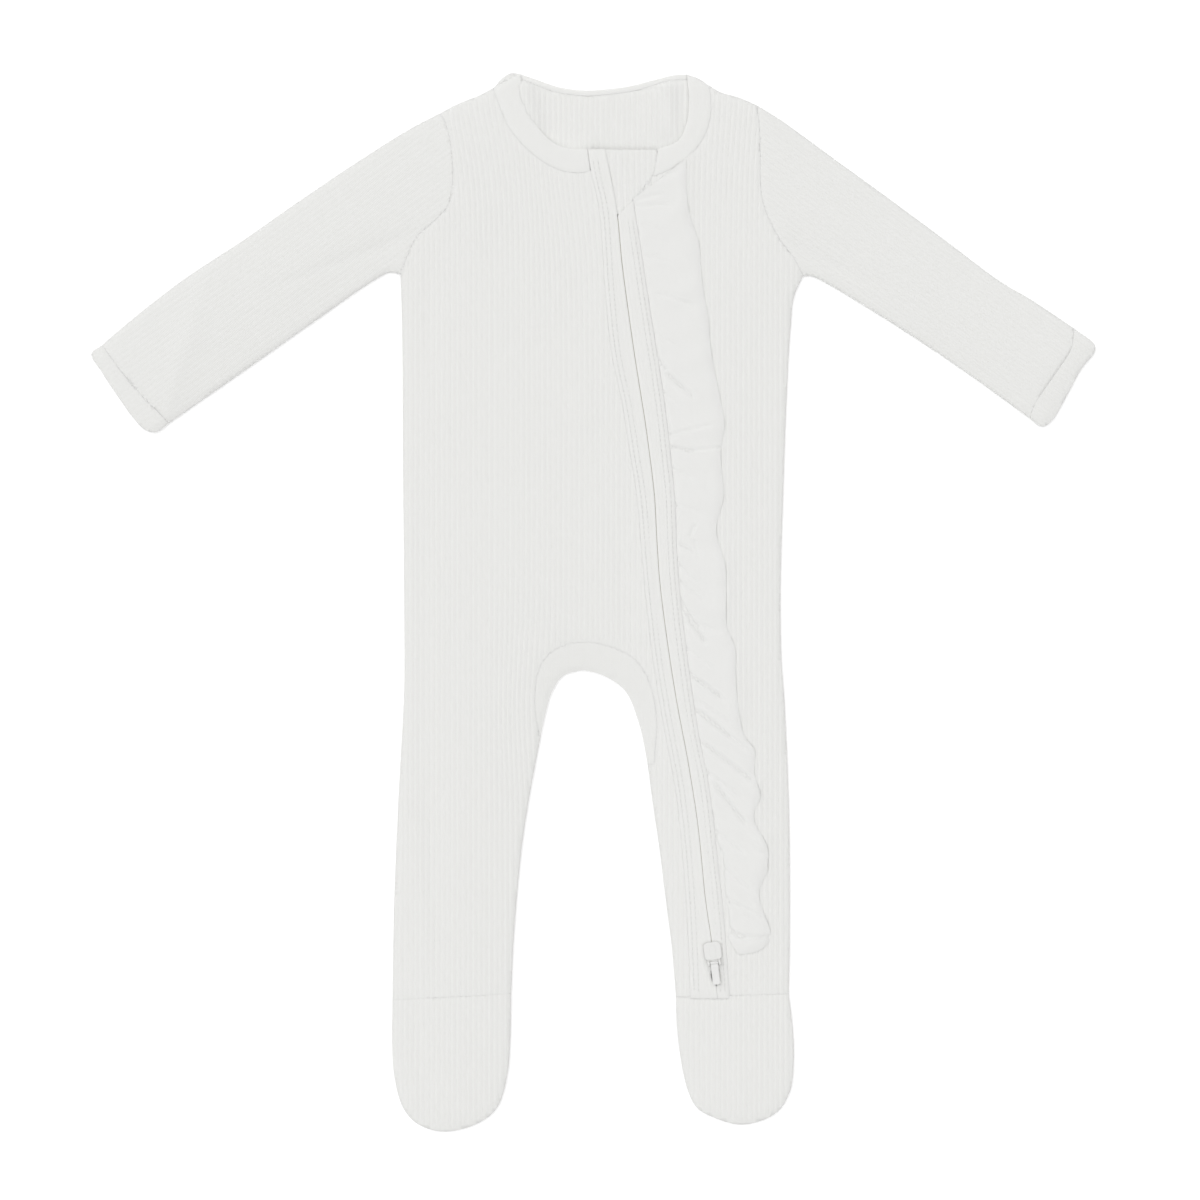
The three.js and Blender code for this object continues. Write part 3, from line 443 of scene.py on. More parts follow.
def distance_to(points: Array, line: Array) -> Array:
    """Distance of each point from an open line, worked out in blocks.

    Args:
        points: Rows of x and y.
        line: The line's points.

    Returns:
        One distance for each point.
    """
    a, d = line[:-1], np.diff(line, axis=0)
    length2 = np.maximum((d * d).sum(1), 1e-9)
    out = np.empty(len(points))
    block = 1000
    for i in range(0, len(points), block):
        p = points[i:i + block, None, :] - a
        t = np.clip((p * d).sum(2) / length2, 0, 1)
        out[i:i + block] = np.linalg.norm(p - t[..., None] * d, axis=2).min(1)
    return out


def inside_loop(x: Array, y: Array, loop: Array) -> Array:
    """Which points of a grid lie inside a closed loop, row by row.

    Args:
        x: Places of the grid's columns, rising.
        y: Heights of its rows.
        loop: The closed loop.

    Returns:
        A mask of shape (rows, columns).
    """
    a, b = loop, np.roll(loop, -1, axis=0)
    out = np.zeros((len(y), len(x)), bool)
    for i, level in enumerate(y):
        hit = (a[:, 1] > level) != (b[:, 1] > level)
        t = (level - a[hit, 1]) / (b[hit, 1] - a[hit, 1])
        cuts = np.sort(a[hit, 0] + t * (b[hit, 0] - a[hit, 0]))
        out[i] = np.searchsorted(cuts, x) % 2 == 1
    return out


@dataclass
class Raster:
    """A smooth field sampled once on a square grid and read back bilinearly."""

    low: Array
    step: float
    values: Array

    @classmethod
    def empty(cls, low: Array, high: Array, step: float, reach: float) -> "Raster":
        """A raster between two corners that holds one value."""
        nx, ny = np.ceil((high - low) / step).astype(int) + 1
        return cls(low, step, np.full((ny, nx), reach))

    def axes(self) -> tuple[Array, Array]:
        """Places of the columns and of the rows."""
        rows, columns = self.values.shape
        return self.low[0] + self.step * np.arange(columns), self.low[1] + self.step * np.arange(rows)

    def lower_near(self, line: Array, reach: float) -> None:
        """Lowers the values near a line to the distance from it, segment by segment.

        Args:
            line: The line's points.
            reach: How far from the line the values are lowered.
        """
        xs, ys = self.axes()
        for a, b in zip(line[:-1], line[1:]):
            low, high = np.minimum(a, b) - reach, np.maximum(a, b) + reach
            i0, i1 = np.searchsorted(xs, (low[0], high[0]))
            j0, j1 = np.searchsorted(ys, (low[1], high[1]))
            gx, gy = np.meshgrid(xs[i0:i1], ys[j0:j1])
            d = b - a
            t = np.clip(((gx - a[0]) * d[0] + (gy - a[1]) * d[1]) / max(float(d @ d), 1e-9), 0, 1)
            away = np.hypot(gx - a[0] - t * d[0], gy - a[1] - t * d[1])
            window = self.values[j0:j1, i0:i1]
            np.minimum(window, away, out=window)

    @classmethod
    def depth(cls, loop: Array, step: float) -> "Raster":
        """Distance to a closed loop, positive inside it and negative outside.

        Args:
            loop: The closed loop.
            step: Size of the raster's cells.

        Returns:
            The raster, exact near the loop and coarse far inside it.
        """
        line = np.vstack([loop, loop[:1]])
        margin = 6.0
        low, high = loop.min(0) - margin, loop.max(0) + margin
        coarse = cls.empty(low, high, step * 4, 0.0)
        points = np.stack(np.meshgrid(*coarse.axes()), axis=2).reshape(-1, 2)
        coarse.values = distance_to(points, resample(line, 8.0)).reshape(coarse.values.shape)
        fine = cls.empty(low, high, step, 0.0)
        xs, ys = fine.axes()
        fine.values = coarse(*np.meshgrid(xs, ys))
        fine.lower_near(line, 9.0)
        fine.values[~inside_loop(xs, ys, loop)] *= -1
        return fine

    def __call__(self, x: Array, y: Array) -> Array:
        """The field's value at each x and y.

        Args:
            x: Places.
            y: Places.

        Returns:
            The values, read bilinearly.
        """
        u = np.clip((x - self.low[0]) / self.step, 0, self.values.shape[1] - 1.001)
        v = np.clip((y - self.low[1]) / self.step, 0, self.values.shape[0] - 1.001)
        i, j = u.astype(int), v.astype(int)
        fu, fv = u - i, v - j
        z = self.values
        return ((z[j, i] * (1 - fu) + z[j, i + 1] * fu) * (1 - fv)
                + (z[j + 1, i] * (1 - fu) + z[j + 1, i + 1] * fu) * fv)


OUTLINE = silhouette()
DEPTH = Raster.depth(OUTLINE, 1.0)


def near_lines(lines: list[Array]) -> Raster:
    """Distance to the nearest of some lines.

    Args:
        lines: The lines.

    Returns:
        A raster over the garment that holds at most 8 mm.
    """
    raster = Raster.empty(OUTLINE.min(0), OUTLINE.max(0), 0.5, 8.0)
    for line in lines:
        raster.lower_near(line, 8.0)
    return raster


SOFT_SEAMS = near_lines([LINES[name] for name in (
    "armhole_right", "armhole_left", "binding_outer_right", "binding_outer_left",
    "gusset_edge")])
ANKLES = near_lines([ANKLE_RIGHT, ANKLE_LEFT])
FIRM_SEAMS = near_lines([LINES["cuff_seam_right"], LINES["cuff_seam_left"]])


def ridges(x: Array, y: Array, table: list, fade: float = 4.0) -> Array:
    """Sum of ridges and troughs: each a bell across its line that fades past its ends.

    Args:
        x: Places.
        y: Places.
        table: Rows of start, end, half width and height.
        fade: How quickly a ridge ends, in lengths of its own.

    Returns:
        The height to add.
    """
    total = np.zeros_like(x)
    for (ax, ay), (bx, by), width, height in table:
        dx, dy = bx - ax, by - ay
        t = ((x - ax) * dx + (y - ay) * dy) / (dx * dx + dy * dy)
        off = np.hypot(x - ax - t * dx, y - ay - t * dy) / width
        ends = np.maximum(0, np.abs(t - 0.5) - 0.5) * fade
        total += height * np.exp(-off ** 2 - ends ** 2)
    return total


def inner_face(x: Array, y: Array) -> Array:
    """Inner face of the front: just over the back at the outline, lifted and folded inside."""
    lift = 1 - np.exp(-np.maximum(DEPTH(x, y), 0) / CLOTH.loft_reach)
    return CLOTH.wall + CLOTH.gap + (CLOTH.loft + ridges(x, y, FOLDS)) * lift


def rolled(z: Array, x: Array, y: Array) -> Array:
    """Heights brought down at the garment's outline along a parabola."""
    d = np.clip(DEPTH(x, y) / CLOTH.edge_round, 0, 1)
    low = np.minimum(z, CLOTH.edge_top)
    return low + (z - low) * (1 - (1 - d) ** 2)


def under_face(x: Array, y: Array) -> Array:
    """Underside of the front: its inner face, with a lip that rolls down at the outline."""
    d = np.clip((DEPTH(x, y) - 0.3) / 1.4, 0, 1)
    share = d * d * (3 - 2 * d)
    return CLOTH.edge_foot + (inner_face(x, y) - CLOTH.edge_foot) * share


def rib_profile(across: Array) -> Array:
    """Height of the rib knit: flat crests parted by narrow rounded furrows."""
    off = (across + CLOTH.rib_pitch / 2) % CLOTH.rib_pitch - CLOTH.rib_pitch / 2
    return CLOTH.rib_height * (1 - np.exp(-(off / CLOTH.furrow) ** 2))


@dataclass
class MeshParts:
    """Points and faces that grow into one mesh."""

    points: list[Array] = field(default_factory=list)
    faces: list[Array] = field(default_factory=list)
    count: int = 0
    sharp: float = 78.0

    def add(self, points: Array, faces: Array) -> None:
        """Adds points and faces that count from zero. A triangle repeats its last corner."""
        self.points.append(np.asarray(points, float))
        self.faces.append(np.asarray(faces, int) + self.count)
        self.count += len(points)

    def write(self, name: str) -> bpy.types.Object:
        """Makes the Blender object, at the origin, in metres.

        Args:
            name: Name of the piece.

        Returns:
            The new object, linked to the scene.
        """
        points = np.vstack(self.points) * MM
        faces = np.vstack(self.faces)
        three = faces[:, 2] == faces[:, 3]
        sizes = np.where(three, 3, 4)
        loops = faces[np.arange(4) < sizes[:, None]]
        mesh = bpy.data.meshes.new(name)
        mesh.vertices.add(len(points))
        mesh.vertices.foreach_set("co", points.astype(np.float32).ravel())
        mesh.loops.add(len(loops))
        mesh.loops.foreach_set("vertex_index", loops.astype(np.int32))
        mesh.polygons.add(len(faces))
        starts = np.concatenate([[0], np.cumsum(sizes)[:-1]])
        mesh.polygons.foreach_set("loop_start", starts.astype(np.int32))
        mesh.polygons.foreach_set("use_smooth", np.full(len(faces), True))
        mesh.update(calc_edges=True)
        mesh.validate()
        mesh.set_sharp_from_angle(angle=math.radians(self.sharp))
        piece = bpy.data.objects.new(name, mesh)
        bpy.context.collection.objects.link(piece)
        return piece


def boundary_edges(faces: Array) -> Array:
    """Edges that only one face uses.

    Args:
        faces: Four corners each, with a triangle's last corner twice.

    Returns:
        Pairs of point numbers, in the direction of the face.
    """
    quads = faces[faces[:, 2] != faces[:, 3]]
    tris = faces[faces[:, 2] == faces[:, 3]][:, :3]
    pairs = np.vstack(
        [quads[:, [i, (i + 1) % 4]] for i in range(4)] + [tris[:, [i, (i + 1) % 3]] for i in range(3)]
    )
    ordered = np.sort(pairs, axis=1)
    _, first, uses = np.unique(ordered, axis=0, return_index=True, return_counts=True)
    return pairs[first[uses == 1]]


def lean(u: Array, v: Array) -> Array:
    """Sideways shift of the front's ribs: a bell about each centre of the table.

    Args:
        u: Places across the ribs.
        v: Places along them.

    Returns:
        The shift at each place.
    """
    total = np.zeros_like(u)
    for (cx, cy), reach_x, reach_y, shift in RIB_LEANS:
        total += shift * np.exp(-((u - cx) / reach_x) ** 2 - ((v - cy) / reach_y) ** 2)
    return total


def straight(u: Array, v: Array) -> Array:
    """Ribs that don't lean."""
    return np.zeros_like(u)


def cut_grid(loop: Array, turn: float, column: float, row: float,
             shift: Height = straight) -> tuple[Array, Array, Array]:
    """A grid of points cut to a loop and joined into triangles.

    The grid's columns run along the ribs, which are turned by an angle from Y and may lean.
    The loop's own points, close together, bound it.

    Args:
        loop: Closed outline of the panel.
        turn: Angle of the ribs, in radians.
        column: Distance between columns, a whole share of the rib pitch.
        row: Distance between rows.
        shift: Sideways shift of the ribs, from their place across and along.

    Returns:
        Points in the garment's frame, triangles, and each point's place across the ribs.
    """
    edge = resample(np.vstack([loop, loop[:1]]), column * 1.5)[:-1]
    cos, sin = math.cos(turn), math.sin(turn)
    edge = np.stack([edge[:, 0] * cos + edge[:, 1] * sin, edge[:, 1] * cos - edge[:, 0] * sin], axis=1)
    low, high = edge.min(0) - 12, edge.max(0) + 12
    columns = np.arange(math.ceil(low[0] / column), math.floor(high[0] / column) + 1) * column
    rows = np.arange(edge[:, 1].min() + row / 2, edge[:, 1].max(), row)
    grid = np.stack(np.meshgrid(columns, rows), axis=2)
    grid[..., 0] += shift(grid[..., 0], grid[..., 1])
    near_edge = Raster.empty(low, high, 0.5, 2.0)
    near_edge.lower_near(np.vstack([edge, edge[:1]]), 2.0)
    kept = np.array([inside_loop(line[:, 0], line[:1, 1], edge)[0] for line in grid])
    kept &= near_edge(grid[..., 0], grid[..., 1]) > column * 0.45
    grid = grid[kept]
    corners = np.vstack([edge, grid]).tolist()
    found = delaunay_2d_cdt(corners, [], [list(range(len(edge)))], 1, 1e-6)
    points = np.array(found[0])
    faces = np.array(found[2])
    a, b, c = (points[faces[:, i]] for i in range(3))
    turned = np.cross(b - a, c - a) < 0
    faces[turned] = faces[turned][:, ::-1]
    u, v = points.T
    across = u.copy()
    for _ in range(10):
        across = u - shift(across, v)
    placed = np.stack([u * cos - v * sin, u * sin + v * cos], axis=1)
    return placed, faces[:, [0, 1, 2, 2]], across


def shell(parts: MeshParts, points: Array, faces: Array, top: Array, under: Array) -> None:
    """Closes a patch of cloth: an upper face, a lower face and a rim between them.

    Args:
        parts: Mesh that the cloth is added to.
        points: Points of the patch seen from above.
        faces: Its faces, anticlockwise seen from above.
        top: Height of the upper face at each point.
        under: Height of the lower face at each point.
    """
    n = len(points)
    upper = np.column_stack([points, top])
    lower = np.column_stack([points, np.minimum(under, top - 0.05)])
    edge = boundary_edges(faces)
    rim = np.stack([edge[:, 1], edge[:, 0], edge[:, 0] + n, edge[:, 1] + n], axis=1)
    triangle = faces[:, 2] == faces[:, 3]
    turned = faces[:, ::-1].copy()
    turned[triangle] = faces[triangle][:, [2, 1, 0, 0]]
    parts.add(np.vstack([upper, lower]), np.vstack([faces, turned + n, rim]))


def seam_dip(x: Array, y: Array) -> Array:
    """How far the cloth sinks beside its seams, as a negative height."""
    return (-CLOTH.soft_dip * np.exp(-(SOFT_SEAMS(x, y) / CLOTH.soft_reach) ** 2)
            - CLOTH.firm_dip * np.exp(-(FIRM_SEAMS(x, y) / CLOTH.firm_reach) ** 2)
            - CLOTH.ankle_dip * np.exp(-(ANKLES(x, y) / CLOTH.ankle_reach) ** 2))


def capped_rings(turns: int, rings: int) -> Array:
    """Faces of a closed body made of rings between two end points.

    Args:
        turns: Points in each ring.
        rings: Number of rings. The first end point comes before them, the last after them.

    Returns:
        Faces, four corners each, with a triangle's last corner twice.
    """
    j = np.arange(turns)
    step = (j + 1) % turns
    starts = 1 + turns * np.arange(rings - 1)[:, None]
    sides = np.stack([starts + j, starts + step, starts + turns + step, starts + turns + j], axis=2)
    last = 1 + turns * (rings - 1)
    end = np.full(turns, last + turns)
    first = np.stack([np.zeros(turns, int), 1 + step, 1 + j, 1 + j], axis=1)
    return np.vstack([first, sides.reshape(-1, 4), np.stack([last + j, last + step, end, end], axis=1)])


def tuck_drop(depth: Array) -> Array:
    """How far a cloth's edge sinks where it runs under its neighbour by a depth."""
    return CLOTH.tuck_drop * np.clip(depth / 0.5 + 0.2, 0, 1)


def lower_layer(x: Array, y: Array) -> Array:
    """Upper face of the cloth that lies on the floor, thinned under the rolled edge above.

    Args:
        x: Places.
        y: Places.

    Returns:
        Its height at each place.
    """
    depth = np.clip((DEPTH(x, y) - 1.2) / 1.2, 0, 1)
    return CLOTH.thinned + (CLOTH.wall - CLOTH.thinned) * depth * depth * (3 - 2 * depth)


def ribs(x: Array, y: Array, across: Array) -> Array:
    """Ribs of the knit, pressed flat beside the seams."""
    seam = np.minimum(SOFT_SEAMS(x, y), FIRM_SEAMS(x, y))
    return rib_profile(across) * (1 - 0.85 * np.exp(-(seam / 1.4) ** 2))


def front_height(x: Array, y: Array, cloth: float = CLOTH.wall) -> Array:
    """Outer face of the front between its ribs."""
    return inner_face(x, y) + cloth + ridges(x, y, CREASES, 3.0)


@dataclass(frozen=True)
class Knit:
    """A cloth finish: colour, sheen and the fine loops of the knit."""

    name: str
    colour: tuple[float, float, float]
    roughness: float = 0.92
    sheen: float = 0.25
    loops: float = 0.55
    loop_size: float = 1.0
    turn: float = 0.0
    glow: float = 0.7
    glow_reach: float = 0.8

    def material(self) -> bpy.types.Material:
        """Node material: loops as two crossed waves in the object's own coordinates, as bump."""
        material = bpy.data.materials.new(self.name)
        material.use_nodes = True
        tree = material.node_tree
        shader = tree.nodes["Principled BSDF"]
        shader.inputs["Base Color"].default_value = (*self.colour, 1)
        shader.inputs["Roughness"].default_value = self.roughness
        shader.inputs["Sheen Weight"].default_value = self.sheen
        shader.inputs["Sheen Roughness"].default_value = 0.6
        shader.inputs["Specular IOR Level"].default_value = 0.15
        shader.inputs["Subsurface Weight"].default_value = self.glow
        shader.inputs["Subsurface Radius"].default_value = (1, 1, 1)
        shader.inputs["Subsurface Scale"].default_value = self.glow_reach * MM
        place = tree.nodes.new("ShaderNodeTexCoord")
        turned = tree.nodes.new("ShaderNodeMapping")
        turned.inputs["Rotation"].default_value = (0, 0, -self.turn)
        tree.links.new(place.outputs["Object"], turned.inputs["Vector"])
        wales = self.wave(tree, turned, "X", self.loop_size)
        courses = self.wave(tree, turned, "Y", self.loop_size * 0.8)
        noise = tree.nodes.new("ShaderNodeTexNoise")
        noise.inputs["Scale"].default_value = 900 / self.loop_size
        noise.inputs["Detail"].default_value = 3
        tree.links.new(turned.outputs["Vector"], noise.inputs["Vector"])
        both = tree.nodes.new("ShaderNodeMath")
        both.operation = "MULTIPLY_ADD"
        tree.links.new(wales.outputs["Fac"], both.inputs[0])
        tree.links.new(courses.outputs["Fac"], both.inputs[1])
        tree.links.new(noise.outputs["Fac"], both.inputs[2])
        bump = tree.nodes.new("ShaderNodeBump")
        bump.inputs["Strength"].default_value = self.loops
        bump.inputs["Distance"].default_value = 0.12 * MM
        tree.links.new(both.outputs[0], bump.inputs["Height"])
        tree.links.new(bump.outputs["Normal"], shader.inputs["Normal"])
        return material

    @staticmethod
    def wave(tree: bpy.types.NodeTree, source: bpy.types.Node, way: str, pitch: float) -> bpy.types.Node:
        """A sine wave across X or Y with the given pitch in millimetres."""
        wave = tree.nodes.new("ShaderNodeTexWave")
        wave.bands_direction = way
        wave.inputs["Scale"].default_value = 2 * math.pi / (20 * pitch * MM)
        wave.inputs["Distortion"].default_value = 0.6
        wave.inputs["Detail Scale"].default_value = 2
        tree.links.new(source.outputs["Vector"], wave.inputs["Vector"])
        return wave


@dataclass(frozen=True)
class Enamel:
    """Coated metal of the slider."""

    name: str
    colour: tuple[float, float, float]
    roughness: float = 0.55
    metallic: float = 0.0

    def material(self) -> bpy.types.Material:
        """Node material with a faint grain in the roughness."""
        material = bpy.data.materials.new(self.name)
        material.use_nodes = True
        tree = material.node_tree
        shader = tree.nodes["Principled BSDF"]
        shader.inputs["Base Color"].default_value = (*self.colour, 1)
        shader.inputs["Metallic"].default_value = self.metallic
        shader.inputs["Specular IOR Level"].default_value = 0.3
        place = tree.nodes.new("ShaderNodeTexCoord")
        noise = tree.nodes.new("ShaderNodeTexNoise")
        noise.inputs["Scale"].default_value = 1500
        tree.links.new(place.outputs["Object"], noise.inputs["Vector"])
        spread = tree.nodes.new("ShaderNodeMapRange")
        spread.inputs["To Min"].default_value = self.roughness - 0.06
        spread.inputs["To Max"].default_value = self.roughness + 0.06
        tree.links.new(noise.outputs["Fac"], spread.inputs["Value"])
        tree.links.new(spread.outputs["Result"], shader.inputs["Roughness"])
        return material


@dataclass
class Sheet:
    """The cut of a cloth piece: flat sizes and area in metres, seen from above or all round."""

    width: float
    length: float
    area: float

    @classmethod
    def of(cls, points: Array, faces: Array, turn: float = 0.0, layers: int = 1) -> "Sheet":
        """Measures a patch laid flat.

        Args:
            points: Its points seen from above, in millimetres.
            faces: Its faces.
            turn: Angle of its length from Y.
            layers: 2 for a flattened tube, whose cut is twice as wide.

        Returns:
            The sheet's sizes in metres.
        """
        cos, sin = math.cos(turn), math.sin(turn)
        u, v = points[:, 0] * cos + points[:, 1] * sin, points[:, 1] * cos - points[:, 0] * sin
        x, y = points[faces, 0], points[faces, 1]
        area = np.abs((x * np.roll(y, -1, axis=1) - y * np.roll(x, -1, axis=1)).sum(1) / 2).sum()
        return cls(float(np.ptp(u)) * layers * MM, float(np.ptp(v)) * MM, float(area) * layers * MM * MM)


def dress(piece: bpy.types.Object, finish: Knit | Enamel, body: Body = Body.GARMENT,
          node: str | None = None, sheet: Sheet | None = None) -> None:
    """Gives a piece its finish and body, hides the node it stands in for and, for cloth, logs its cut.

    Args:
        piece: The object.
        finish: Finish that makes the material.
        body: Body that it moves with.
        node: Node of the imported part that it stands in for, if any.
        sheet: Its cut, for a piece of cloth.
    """
    piece.data.materials.append(finish.material())
    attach(piece, body.value)
    if node is not None:
        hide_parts(node)
    if sheet is not None:
        LOG.info("%s: flat %.0f x %.0f mm, %.0f cm2", piece.name, sheet.width / MM,
                 sheet.length / MM, sheet.area * 1e4)
    LOG.info("%s: %d faces", piece.name, len(piece.data.polygons))


WHITE = (0.80, 0.80, 0.785)
RIB_FINISH = Knit("rib knit", WHITE)
SMOOTH_FINISH = Knit("smooth knit", (0.81, 0.81, 0.795), loop_size=0.8)
JERSEY_FINISH = Knit("jersey", (0.80, 0.80, 0.785), loop_size=0.7, loops=0.35, glow=0.3)


@dataclass
class Panel:
    """A flat panel of the front, ribbed, over whatever it lies on.

    Its height is the inner face, a wall, the creases and the ribs, with a dip beside each
    seam, and all of it rolls down at the garment's outline.
    """

    name: str
    node: str
    loop: Array
    rests_on: tuple[str, ...]
    turn: float = 0.0
    cloth: float = CLOTH.wall
    rows: float = 3.0
    tucked: Height | None = None

    def build(self) -> bpy.types.Object:
        """Builds and dresses the panel."""
        points, faces, across = cut_grid(self.loop, self.turn, CLOTH.column, self.rows, lean)
        x, y = points.T
        top = front_height(x, y, self.cloth) + ribs(x, y, across) + seam_dip(x, y)
        if self.tucked is not None:
            top -= tuck_drop(self.tucked(x, y))
        parts = MeshParts()
        shell(parts, points, faces, rolled(top, x, y), under_face(x, y))
        piece = parts.write(self.name)
        dress(piece, RIB_FINISH, node=self.node,
              sheet=Sheet.of(points, faces, self.turn))
        return piece


@dataclass
class BackPanel:
    """Cloth that lies flat underneath, seen only from behind and through the neck."""

    name: str
    node: str
    loop: Array
    window: Array | None = None
    hems: tuple[bpy.types.Object, ...] = ()
    rows: float = 4.0

    def build(self) -> bpy.types.Object:
        """Builds and dresses the back: a flat sheet, thinned under the rolled edge of the front."""
        points, faces, across = cut_grid(self.loop, 0.0, CLOTH.column, self.rows)
        x, y = points.T
        top = lower_layer(x, y)
        if self.window is not None:
            shown = np.clip(Raster.depth(self.window, 1.0)(x, y), 0, 1)
            shown *= np.clip((near_lines([LINES["neck_back"]])(x, y) - 2.5) / 2.5, 0, 1)
            top = top + (rib_profile(across) + ridges(x, y, NECK_RIDGES)) * shown
        parts = MeshParts()
        shell(parts, points, faces, top, np.zeros(len(points)))
        piece = parts.write(self.name)
        dress(piece, RIB_FINISH, node=self.node, sheet=Sheet.of(points, faces))
        return piece


@dataclass
class Tube:
    """A flattened tube of ribbed cloth: an upper half over a flat lower half.

    The upper half is shaped like a panel; the lower half is thinned under its rolled edge.
    """

    name: str
    node: str
    loop: Array
    turn: float
    cloth: float = CLOTH.wall
    rows: float = 3.0
    relief: float = 0.4
    tucked: Height | None = None

    def build(self) -> bpy.types.Object:
        """Builds and dresses the tube."""
        points, faces, across = cut_grid(self.loop, self.turn, CLOTH.column, self.rows)
        x, y = points.T
        top = front_height(x, y, self.cloth) + self.relief * ribs(x, y, across) + seam_dip(x, y)
        if self.tucked is not None:
            top -= tuck_drop(self.tucked(x, y))
        parts = MeshParts()
        shell(parts, points, faces, rolled(top, x, y), under_face(x, y))
        shell(parts, points, faces, lower_layer(x, y), np.zeros(len(points)))
        piece = parts.write(self.name)
        dress(piece, Knit(f"{self.name} knit", WHITE, turn=self.turn), node=self.node,
              sheet=Sheet.of(points, faces, self.turn, layers=2))
        return piece


def grid_quads(rows: int, columns: int) -> Array:
    """Faces of a grid of points counted row by row."""
    number = np.arange(rows * columns).reshape(rows, columns)
    return np.stack([number[:-1, :-1], number[1:, :-1], number[1:, 1:], number[:-1, 1:]],
                    axis=2).reshape(-1, 4)


@dataclass
class Ribbon:
    """A smooth strip between two lines, thick, with rounded sides and ends.

    Its top is the height of what it lies on plus a crown: a parabola within one round of
    each side, flat between, with a groove where it is stitched.
    """

    name: str
    node: str
    left: Array
    right: Array
    low: Height
    thickness: float
    slot: Slot
    finish: Knit
    rests_on: tuple[str, ...]
    round: float = 1.0
    lip: float = 0.35
    middle: int = 8
    grooves: tuple[float, ...] = ()
    roll_edges: bool = False
    sheet: bool = True
    foot: str = ""
    crisp: str = ""
    ends: float = 0.0
    end_lip: float = 0.6

    def build(self) -> bpy.types.Object:
        """Builds and dresses the strip."""
        width = np.linalg.norm(self.right - self.left, axis=1)
        edge = np.array([0, 0.04, 0.15, 0.35, 0.65, 1.0]) * self.round
        about = np.add.outer(self.grooves, (-0.5, -0.2, 0, 0.2, 0.5)).ravel()
        beside = np.unique(np.concatenate([edge, about]))
        inner = np.linspace(0, 1, self.middle + 2)[1:-1]
        wide = width[:, None]
        near = beside * np.minimum(1.0, 0.45 * wide / beside[-1])
        mid = near[:, -1:] + (wide - 2 * near[:, -1:]) * inner
        share = np.hstack([near, mid, (wide - near)[:, ::-1]]) / wide
        points = self.left[:, None] * (1 - share[..., None]) + self.right[:, None] * share[..., None]
        count, columns = share.shape
        faces = grid_quads(count, columns)
        flat = points.reshape(-1, 2)
        x, y = flat.T
        outer = (np.minimum(share, 1 - share) * width[:, None]).ravel()
        crown = 1 - (1 - np.clip(outer / self.round, 0, 1)) ** 2
        if self.crisp:
            crisp = (share < 0.5 if self.crisp == "left" else share > 0.5).ravel()
            crown = np.where(crisp, 0.55 + 0.45 * np.clip(2 * crown, 0, 1), crown)
        shape = self.lip + (1 - self.lip) * crown
        if self.ends:
            middle = (self.left + self.right) / 2
            along = np.concatenate([[0], np.cumsum(np.linalg.norm(np.diff(middle, axis=0), axis=1))])
            left_over = np.repeat(along[-1] - along, columns)
            shape *= 1 - (1 - self.end_lip) * (1 - np.clip(left_over / self.ends, 0, 1)) ** 2
        base = self.low(x, y)
        top = base + self.thickness * shape
        for groove in self.grooves:
            top -= 0.06 * np.exp(-((outer - groove) / 0.35) ** 2)
        if self.foot:
            away = (share if self.foot == "left" else 1 - share) * width[:, None]
            t = np.clip(away.ravel() / 4.0, 0, 1)
            base = CLOTH.wall + (base - CLOTH.wall) * t * t * (3 - 2 * t)
        if self.roll_edges:
            top = rolled(top, x, y)
            base = np.minimum(base, under_face(x, y))
        parts = MeshParts()
        shell(parts, flat, faces, top, base)
        piece = parts.write(self.name)
        if not self.sheet:
            dress(piece, self.finish, node=self.node)
            return piece
        middle = (self.left + self.right) / 2
        length = float(np.linalg.norm(np.diff(middle, axis=0), axis=1).sum())
        cut = Sheet(float(width.max()) * MM, length * MM, Sheet.of(flat, faces).area)
        dress(piece, self.finish, node=self.node, sheet=cut)
        return piece


def gather(y: Array) -> Array:
    """Lift of the ruffle's free edge: crests from the table with dips between.

    Args:
        y: Heights along the edge.

    Returns:
        The lift: a cosine from crest to crest.
    """
    table = np.array(RUFFLE_CRESTS)
    order = np.argsort(table[:, 0])
    crest, lift = table[order].T
    i = np.clip(np.searchsorted(crest, y) - 1, 0, len(crest) - 2)
    t = np.clip((y - crest[i]) / (crest[i + 1] - crest[i]), 0, 1)
    return (lift[i] * (1 - t) + lift[i + 1] * t) * (0.5 + 0.5 * np.cos(2 * np.pi * t))


